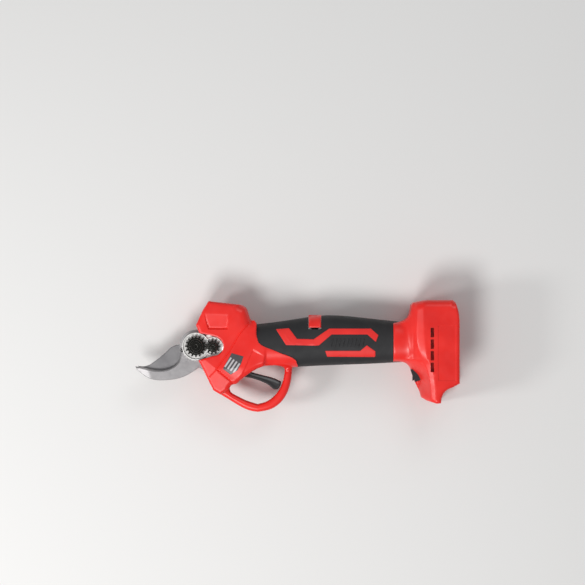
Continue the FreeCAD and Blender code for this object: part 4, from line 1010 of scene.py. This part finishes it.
def stripes(side, sizes):
    """The two inlays, following the grip a little proud, with a faint ridge in the wide end."""
    solids = []
    for runs in (UPPER_STRIPE, LOWER_STRIPE):
        region = area(runs, (), 0.8, 1.2, (STRIPE_RIDGE,) if runs is UPPER_STRIPE else ())
        points, _, depth = region
        ridge = np.exp(-(crease_side(points, STRIPE_RIDGE, True) / 0.4) ** 2)
        ridge = ridge * (points[:, 0] < 97) * (points[:, 1] > 4.2) * (points[:, 1] < 14.2)
        under = grip_height(points)
        top = under + sizes.stripe_lift / MM - drop(depth, 0.4) + 0.12 * ridge
        solids.append(slab(region, top, under - 0.8))
    return on_side(joined(solids), side)


def thumb_button():
    """A saddle that follows the grip 0.7 mm proud, with rounded ends, open between its two cheeks."""
    x0, x1, y0, y1 = BUTTON
    runs = sides([(x0, y0), (x1, y0), (x1, y1), (x0, y1)])
    region = area(runs, (), 2.2, 0.7, ([[(x0, BUTTON_ROOF), (x1, BUTTON_ROOF)]],), 0.7)
    points = region[0]
    ends = np.minimum(np.minimum(points[:, 0] - x0, x1 - points[:, 0]), points[:, 1] - y0)
    half = np.maximum(grip_height(points, 0.7) - drop(ends, 1.6), 1.0)
    cheek = slab(region, half, np.where(points[:, 1] < BUTTON_ROOF, np.minimum(half - 1.5, BUTTON_ROOM), 0.0))
    return joined([cheek, other_side(cheek)])


# ---- foot ---------------------------------------------------------------------------------------


def across(points, crease):
    """Distance behind a smooth crease that is given as points from low to high Y."""
    edge = smooth_run(crease, 1.0)
    return points[:, 0] - np.interp(points[:, 1], edge[:, 1], edge[:, 0])


def foot_height(points):
    """Collar over the grip, a slope up to the front crease, a facet to the rear crease, then flat.

    The four are planes or the grip's section, filleted where they meet; the edges are quarter-round
    and the rear panel lies 0.5 mm deep.
    """
    front = across(points, FRONT_CREASE)
    rear = across(points, REAR_CREASE)
    collar = grip_height(points, 1.5)
    collar = np.where(points[:, 0] > COLLAR_END, 0.0, collar)
    slope = CREASE_LEVEL + (0.95 - 0.33 * ease((-6 - points[:, 1]) / 12)) * front
    facet = CREASE_LEVEL + FACET_RISE * front / np.maximum(front - rear, 0.6)
    flat = np.full(len(points), FOOT_HALF)
    cheek = lower(lower(slope, facet, 0.25), flat, 0.2)
    surface = lower(higher(collar, cheek, 2.4), flat, 0.05)
    edges = ((FOOT_COLLAR, 1.0), (FOOT_FRONT, 3.0), (FOOT_TOP, 8.0), (FOOT_END, 2.6), (FOOT_LOWER, 3.0))
    fall = np.max([drop(to_line(points, runs), radius) for runs, radius in edges], axis=0)
    x0, x1, y0, y1 = PANEL
    x, y = points.T
    panel = np.minimum(np.minimum(x - x0, x1 - x), np.minimum(y - y0, y1 - y))
    return surface - fall - 0.5 * ease((panel + 0.25) / 0.5)


def foot_shell(side, sizes):
    """One side of the foot, with four vents, open behind for the battery's rails."""
    x0, x1, top_y, length, pitch = VENT
    holes = [rectangle(x0, x1, top_y - pitch * i - length, top_y - pitch * i, 0.8) for i in range(4)]
    if side < 0:
        holes += [circle(place, SCREW_WELL_R) for place in FOOT_WELLS]
    px0, px1, py0, py1 = PANEL
    panel_edge = sides([(px0, py0), (px1, py0), (px1, py1), (px0, py1)])
    region = area(FOOT, holes, 5.0, 1.1, ([FRONT_CREASE], [REAR_CREASE], panel_edge))
    points = region[0]
    top = np.maximum(foot_height(points), SEAM + 0.4)
    wall = sizes.wall / MM
    x, y = points.T
    to_rim = to_loop(points, loop(FOOT))
    base = np.full(len(points), SEAM)
    base = np.where((x > 246) & (y < -36), CHANNEL_HALF, base)
    base = np.where((x > 257) & (y < 36), LIP_HALF, base)
    switch_opening = (x > 212) & (x < 224) & (y > -38) & (y < -21) & (to_rim < 6)
    base = np.where(switch_opening, 7.2, base)
    bottom = np.where(to_rim < wall, np.minimum(base, top - 0.4), np.maximum(top - wall, SEAM))
    return on_side(slab(region, top, bottom), side)


def battery_rails(side):
    """Deck, side wall and lip that take the battery's flanges, the wall that closes the channel, and
    a baffle behind the vents: outlines in XZ, each carried along Y from one height to another.
    """
    inner = [(246.0, SEAM), (249.0, SEAM), (249.0, CHANNEL_HALF), (259.0, CHANNEL_HALF), (259.0, LIP_HALF)]
    rail = inner + [(261.9, LIP_HALF), (261.9, 29.0), (246.0, 29.0)]
    upper = inner + [(260.6, LIP_HALF), (260.6, 29.0), (246.0, 29.0)]
    stop = [(249.0, SEAM), (260.0, SEAM), (260.0, 28.6), (249.0, 28.6)]
    baffle = [(231.0, 22.4), (239.2, 22.4), (239.2, 23.4), (231.0, 23.4)]
    lengths = ((rail, -36.6, 27.0), (upper, 27.0, 36.0), (stop, 36.0, 37.6), (baffle, -27.0, 20.0))
    solids = []
    for corners, low, high in lengths:
        region = area(sides(corners), (), 0.4, 3.0, (), 3.0)
        ones = np.ones(len(region[0]))
        solids.append(stood_up(slab(region, ones * high, ones * low)))
    return on_side(joined(solids), side)


# ---- blades and trigger -------------------------------------------------------------------------


def blade_area(runs, holes):
    """A blade's outline joined to its round eye, less its holes."""
    blade = loop(runs)
    eye = circle((0.0, 0.0), EYE_R, 90)

    def keep(points):
        kept = inside(points, blade) | inside(points, eye)
        for hole in holes:
            kept &= ~inside(points, hole)
        return kept

    return fill([blade, eye] + holes, keep, 1.6, 1.3)


def counter_blade():
    """Hooked jaw 5.9 mm thick, bevelled along its concave edge and ground down towards its tip."""
    region = blade_area(HOOK, [circle((0.0, 0.0), 8.0, 40), circle((-14.2, -3.6), 1.9, 16)])
    points, _, depth = region
    edge = to_line(points, HOOK_EDGE)
    tip = np.maximum(-crease_side(points, [[(-45.2, -32.3), (-47.7, -23.3)]], True), 0.0)
    top = HOOK_TOP - drop(depth, 0.5) - 1.2 * np.clip(1 - edge / 1.5, 0.0, 1.0)
    top = np.maximum(top - HOOK_TIP_FALL * tip, 1.0)
    return slab(region, top, 0.1 + drop(depth, 0.2))


def moving_blade():
    """Flat in front, hollow-ground behind: the bevel reaches 7 mm back from the cutting edge."""
    region = blade_area(BLADE_SPINE + BLADE_EDGE, [circle((0.0, 0.0), 8.05, 40)])
    points, _, depth = region
    edge = to_line(points, BLADE_EDGE)
    ground = 3.8 * np.clip(1 - edge / HOLLOW_GRIND, 0.0, 1.0) ** 1.3 * (np.hypot(*points.T) > EYE_R + 0.1)
    return slab(region, -drop(depth, 0.35), -BLADE_THICK + ground + drop(depth, 0.3))


def trigger():
    """A lever 10 mm wide with rounded sides, slightly hollowed along its middle for the finger."""
    region = area(TRIGGER, (), 2.6, 0.9)
    points, _, depth = region
    half = TRIGGER_HALF - drop(depth, 1.3) - 0.5 * ease((depth - 1.6) / 1.6)
    return slab(region, half, -half)


# ---- stage --------------------------------------------------------------------------------------


def soft_light(name, place, size, power, colour):
    """A round soft box aimed at the middle of the tool."""
    lamp = bpy.data.lights.new(name, "AREA")
    lamp.shape = "DISK"
    lamp.size = size
    lamp.energy = power
    lamp.color = linear(colour)[:3]
    holder = bpy.data.objects.new(name, lamp)
    holder.location = place
    holder.rotation_euler = (LIGHT_AIM - Vector(place)).to_track_quat("-Z", "Y").to_euler()
    bpy.context.collection.objects.link(holder)


def floor():
    """A flat pale sheet just under the tool."""
    mesh = bpy.data.meshes.new("studio_floor")
    corners = [(x * FLOOR_HALF, y * FLOOR_HALF, FLOOR_LEVEL) for x, y in ((-1, -1), (1, -1), (1, 1), (-1, 1))]
    mesh.from_pydata(corners, [], [(0, 1, 2, 3)])
    material, _, shader, _ = start("pale_studio_floor")
    shader.inputs["Base Color"].default_value = linear("#E4E3E1")
    shader.inputs["Roughness"].default_value = 0.8
    mesh.materials.append(material)
    sheet = bpy.data.objects.new("studio_floor", mesh)
    bpy.context.collection.objects.link(sheet)


# ---- properties ---------------------------------------------------------------------------------


class PrunerSizes(bpy.types.PropertyGroup):
    """Sizes of the moulded shells."""

    wall: bpy.props.FloatProperty(
        name="Wall", description="Thickness of the moulded shells", default=0.0024, min=0.001, unit="LENGTH")
    edge_rounding: bpy.props.FloatProperty(
        name="Edge Rounding", description="Rounding round the head's front and top edges",
        default=0.0034, min=0.0005, unit="LENGTH")
    shoulder_rounding: bpy.props.FloatProperty(
        name="Shoulder Rounding", description="Rounding behind the hump",
        default=0.0095, min=0.0005, unit="LENGTH")
    crease_step: bpy.props.FloatProperty(
        name="Crease Step", description="Height of the step along the two creases of the head",
        default=0.0009, min=0.0, unit="LENGTH")
    pocket_depth: bpy.props.FloatProperty(
        name="Pocket Depth", description="Depth of the pocket in the hump at its lower left corner",
        default=0.0016, min=0.0, unit="LENGTH")
    stripe_lift: bpy.props.FloatProperty(
        name="Stripe Lift", description="How far the red inlays stand out of the grip",
        default=0.00035, min=0.0, unit="LENGTH")


def shade_of(name, code):
    """A colour property whose default is an sRGB hex code."""
    return bpy.props.FloatVectorProperty(
        name=name, description="Colour of the " + name.lower(), default=linear(code)[:3],
        size=3, min=0.0, max=1.0, subtype="COLOR")


class PrunerColours(bpy.types.PropertyGroup):
    """Colours of the mouldings, each with the darker shade that it drifts to."""

    shell: shade_of("Shell", "#F2281F")
    shell_shade: shade_of("Shell Shade", "#E01C15")
    grip: shade_of("Grip", "#1E1E20")
    grip_shade: shade_of("Grip Shade", "#151517")
    inlay: shade_of("Inlay", "#EE2A22")
    inlay_shade: shade_of("Inlay Shade", "#DE1B16")


# ---- operators ----------------------------------------------------------------------------------


class PRUNER_OT_housing(bpy.types.Operator):
    """Build the two head shells with the finger guard"""
    bl_idname = "pruner.housing"
    bl_label = "Head Shells"
    bl_options = {"REGISTER", "UNDO"}

    def execute(self, context):
        sizes = context.scene.pruner_sizes
        add_piece("head_shell_left", housing(1, sizes), "body", "red_shell", ("housing_left",))
        add_piece("head_shell_right", housing(-1, sizes), "body", "red_shell", ("housing_right",))
        return {"FINISHED"}


class PRUNER_OT_label(bpy.types.Operator):
    """Lay the plain label film on the left head shell"""
    bl_idname = "pruner.label"
    bl_label = "Label"
    bl_options = {"REGISTER", "UNDO"}

    def execute(self, context):
        sizes = context.scene.pruner_sizes
        add_piece("label_film", label_plate(sizes), "body", "label", ("label_plate",))
        return {"FINISHED"}


class PRUNER_OT_grip(bpy.types.Operator):
    """Build the two grip shells, their ribs and their inlays"""
    bl_idname = "pruner.grip"
    bl_label = "Grip"
    bl_options = {"REGISTER", "UNDO"}

    def execute(self, context):
        sizes = context.scene.pruner_sizes
        for side, word in ((1, "left"), (-1, "right")):
            add_piece("grip_shell_" + word, grip_shell(side, sizes), "body", "black_grip", ("grip_" + word,))
            add_piece("grip_ribs_" + word, word_ribs(side), "body", "black_grip")
            add_piece("inlays_" + word, stripes(side, sizes), "body", "red_inlay",
                      ("grip_stripes_" + word,))
        return {"FINISHED"}


class PRUNER_OT_foot(bpy.types.Operator):
    """Build the two foot shells and the battery rails"""
    bl_idname = "pruner.foot"
    bl_label = "Battery Foot"
    bl_options = {"REGISTER", "UNDO"}

    def execute(self, context):
        sizes = context.scene.pruner_sizes
        for side, word in ((1, "left"), (-1, "right")):
            add_piece("foot_shell_" + word, foot_shell(side, sizes), "body", "red_shell", ("foot_" + word,))
            add_piece("battery_rail_" + word, battery_rails(side), "body", "red_shell")
        return {"FINISHED"}


class PRUNER_OT_blades(bpy.types.Operator):
    """Build the hooked counter blade and the moving blade"""
    bl_idname = "pruner.blades"
    bl_label = "Blades"
    bl_options = {"REGISTER", "UNDO"}

    def execute(self, context):
        add_piece("hook_blade", counter_blade(), "body", "blade_steel", ("counter_blade",), 18.0)
        add_piece("cutting_blade", moving_blade(), "blade", "dark_blade_steel", ("moving_blade",), 18.0)
        return {"FINISHED"}


class PRUNER_OT_trigger(bpy.types.Operator):
    """Build the trigger lever"""
    bl_idname = "pruner.trigger"
    bl_label = "Trigger"
    bl_options = {"REGISTER", "UNDO"}

    def execute(self, context):
        add_piece("trigger_lever_cap", trigger(), "trigger_lever", "black_plastic", ("trigger",))
        return {"FINISHED"}


class PRUNER_OT_button(bpy.types.Operator):
    """Build the thumb button"""
    bl_idname = "pruner.button"
    bl_label = "Thumb Button"
    bl_options = {"REGISTER", "UNDO"}

    def execute(self, context):
        add_piece("button_cap", thumb_button(), "button", "red_shell", ("thumb_button",))
        return {"FINISHED"}


class PRUNER_OT_finishes(bpy.types.Operator):
    """Give every part of the frame that stays in view its finish"""
    bl_idname = "pruner.finishes"
    bl_label = "Metal and Internal Finishes"
    bl_options = {"REGISTER", "UNDO"}

    def execute(self, context):
        for part in frame["record"]["subparts"]:
            node = frame["nodes"][part["node"]]
            if not node.material_slots:
                node.data.materials.append(None)
            for slot in node.material_slots:
                slot.material = finish(part["material_slot"])
        return {"FINISHED"}


class PRUNER_OT_stage(bpy.types.Operator):
    """Set up the pale floor, the soft lights and the camera"""
    bl_idname = "pruner.stage"
    bl_label = "Studio Stage"
    bl_options = {"REGISTER", "UNDO"}

    def execute(self, context):
        floor()
        soft_light("front_softbox", (-0.45, -0.8, 1.5), 0.6, 15.5, "#FFFFFF")
        soft_light("rear_softbox", (0.5, 1.0, 1.2), 0.8, 3.0, "#FBFCFF")
        soft_light("left_softbox", (-1.1, -0.28, 0.85), 0.3, 5.5, "#FFFFFF")
        scene = context.scene
        scene.view_settings.view_transform = "Standard"
        world = bpy.data.worlds.new("studio_air")
        world.use_nodes = True
        air = world.node_tree.nodes["Background"]
        air.inputs["Color"].default_value = linear("#F2F3F5")
        air.inputs["Strength"].default_value = 0.4
        scene.world = world
        lens = bpy.data.cameras.new("overhead_camera")
        lens.lens = CAMERA_LENS
        lens.sensor_width = 36.0
        camera = bpy.data.objects.new("overhead_camera", lens)
        camera.location = (-0.0045, 0.0634, PIVOT[2] * MM + CAMERA_HEIGHT)
        scene.collection.objects.link(camera)
        scene.camera = camera
        return {"FINISHED"}


PIECES = (
    PRUNER_OT_stage,
    PRUNER_OT_housing,
    PRUNER_OT_label,
    PRUNER_OT_grip,
    PRUNER_OT_foot,
    PRUNER_OT_blades,
    PRUNER_OT_trigger,
    PRUNER_OT_button,
    PRUNER_OT_finishes,
)


class PRUNER_PT_panel(bpy.types.Panel):
    """Lists the sizes, the colours and the pieces"""
    bl_idname = "PRUNER_PT_panel"
    bl_label = "Battery Electric Pruner"
    bl_space_type = "VIEW_3D"
    bl_region_type = "UI"
    bl_category = "Pruner"

    def draw(self, context):
        column = self.layout.column()
        for group in (context.scene.pruner_sizes, context.scene.pruner_colours):
            for name in type(group).__annotations__:
                column.prop(group, name)
        for operator in PIECES:
            column.operator(operator.bl_idname)


CLASSES = (PrunerSizes, PrunerColours) + PIECES + (PRUNER_PT_panel,)


def register():
    for item in CLASSES:
        bpy.utils.register_class(item)
    bpy.types.Scene.pruner_sizes = bpy.props.PointerProperty(type=PrunerSizes)
    bpy.types.Scene.pruner_colours = bpy.props.PointerProperty(type=PrunerColours)


def unregister():
    del bpy.types.Scene.pruner_colours
    del bpy.types.Scene.pruner_sizes
    for item in reversed(CLASSES):
        bpy.utils.unregister_class(item)


def main():
    register()
    for operator in PIECES:
        module, name = operator.bl_idname.split(".")
        getattr(getattr(bpy.ops, module), name)()


if __name__ == "__main__":
    main()
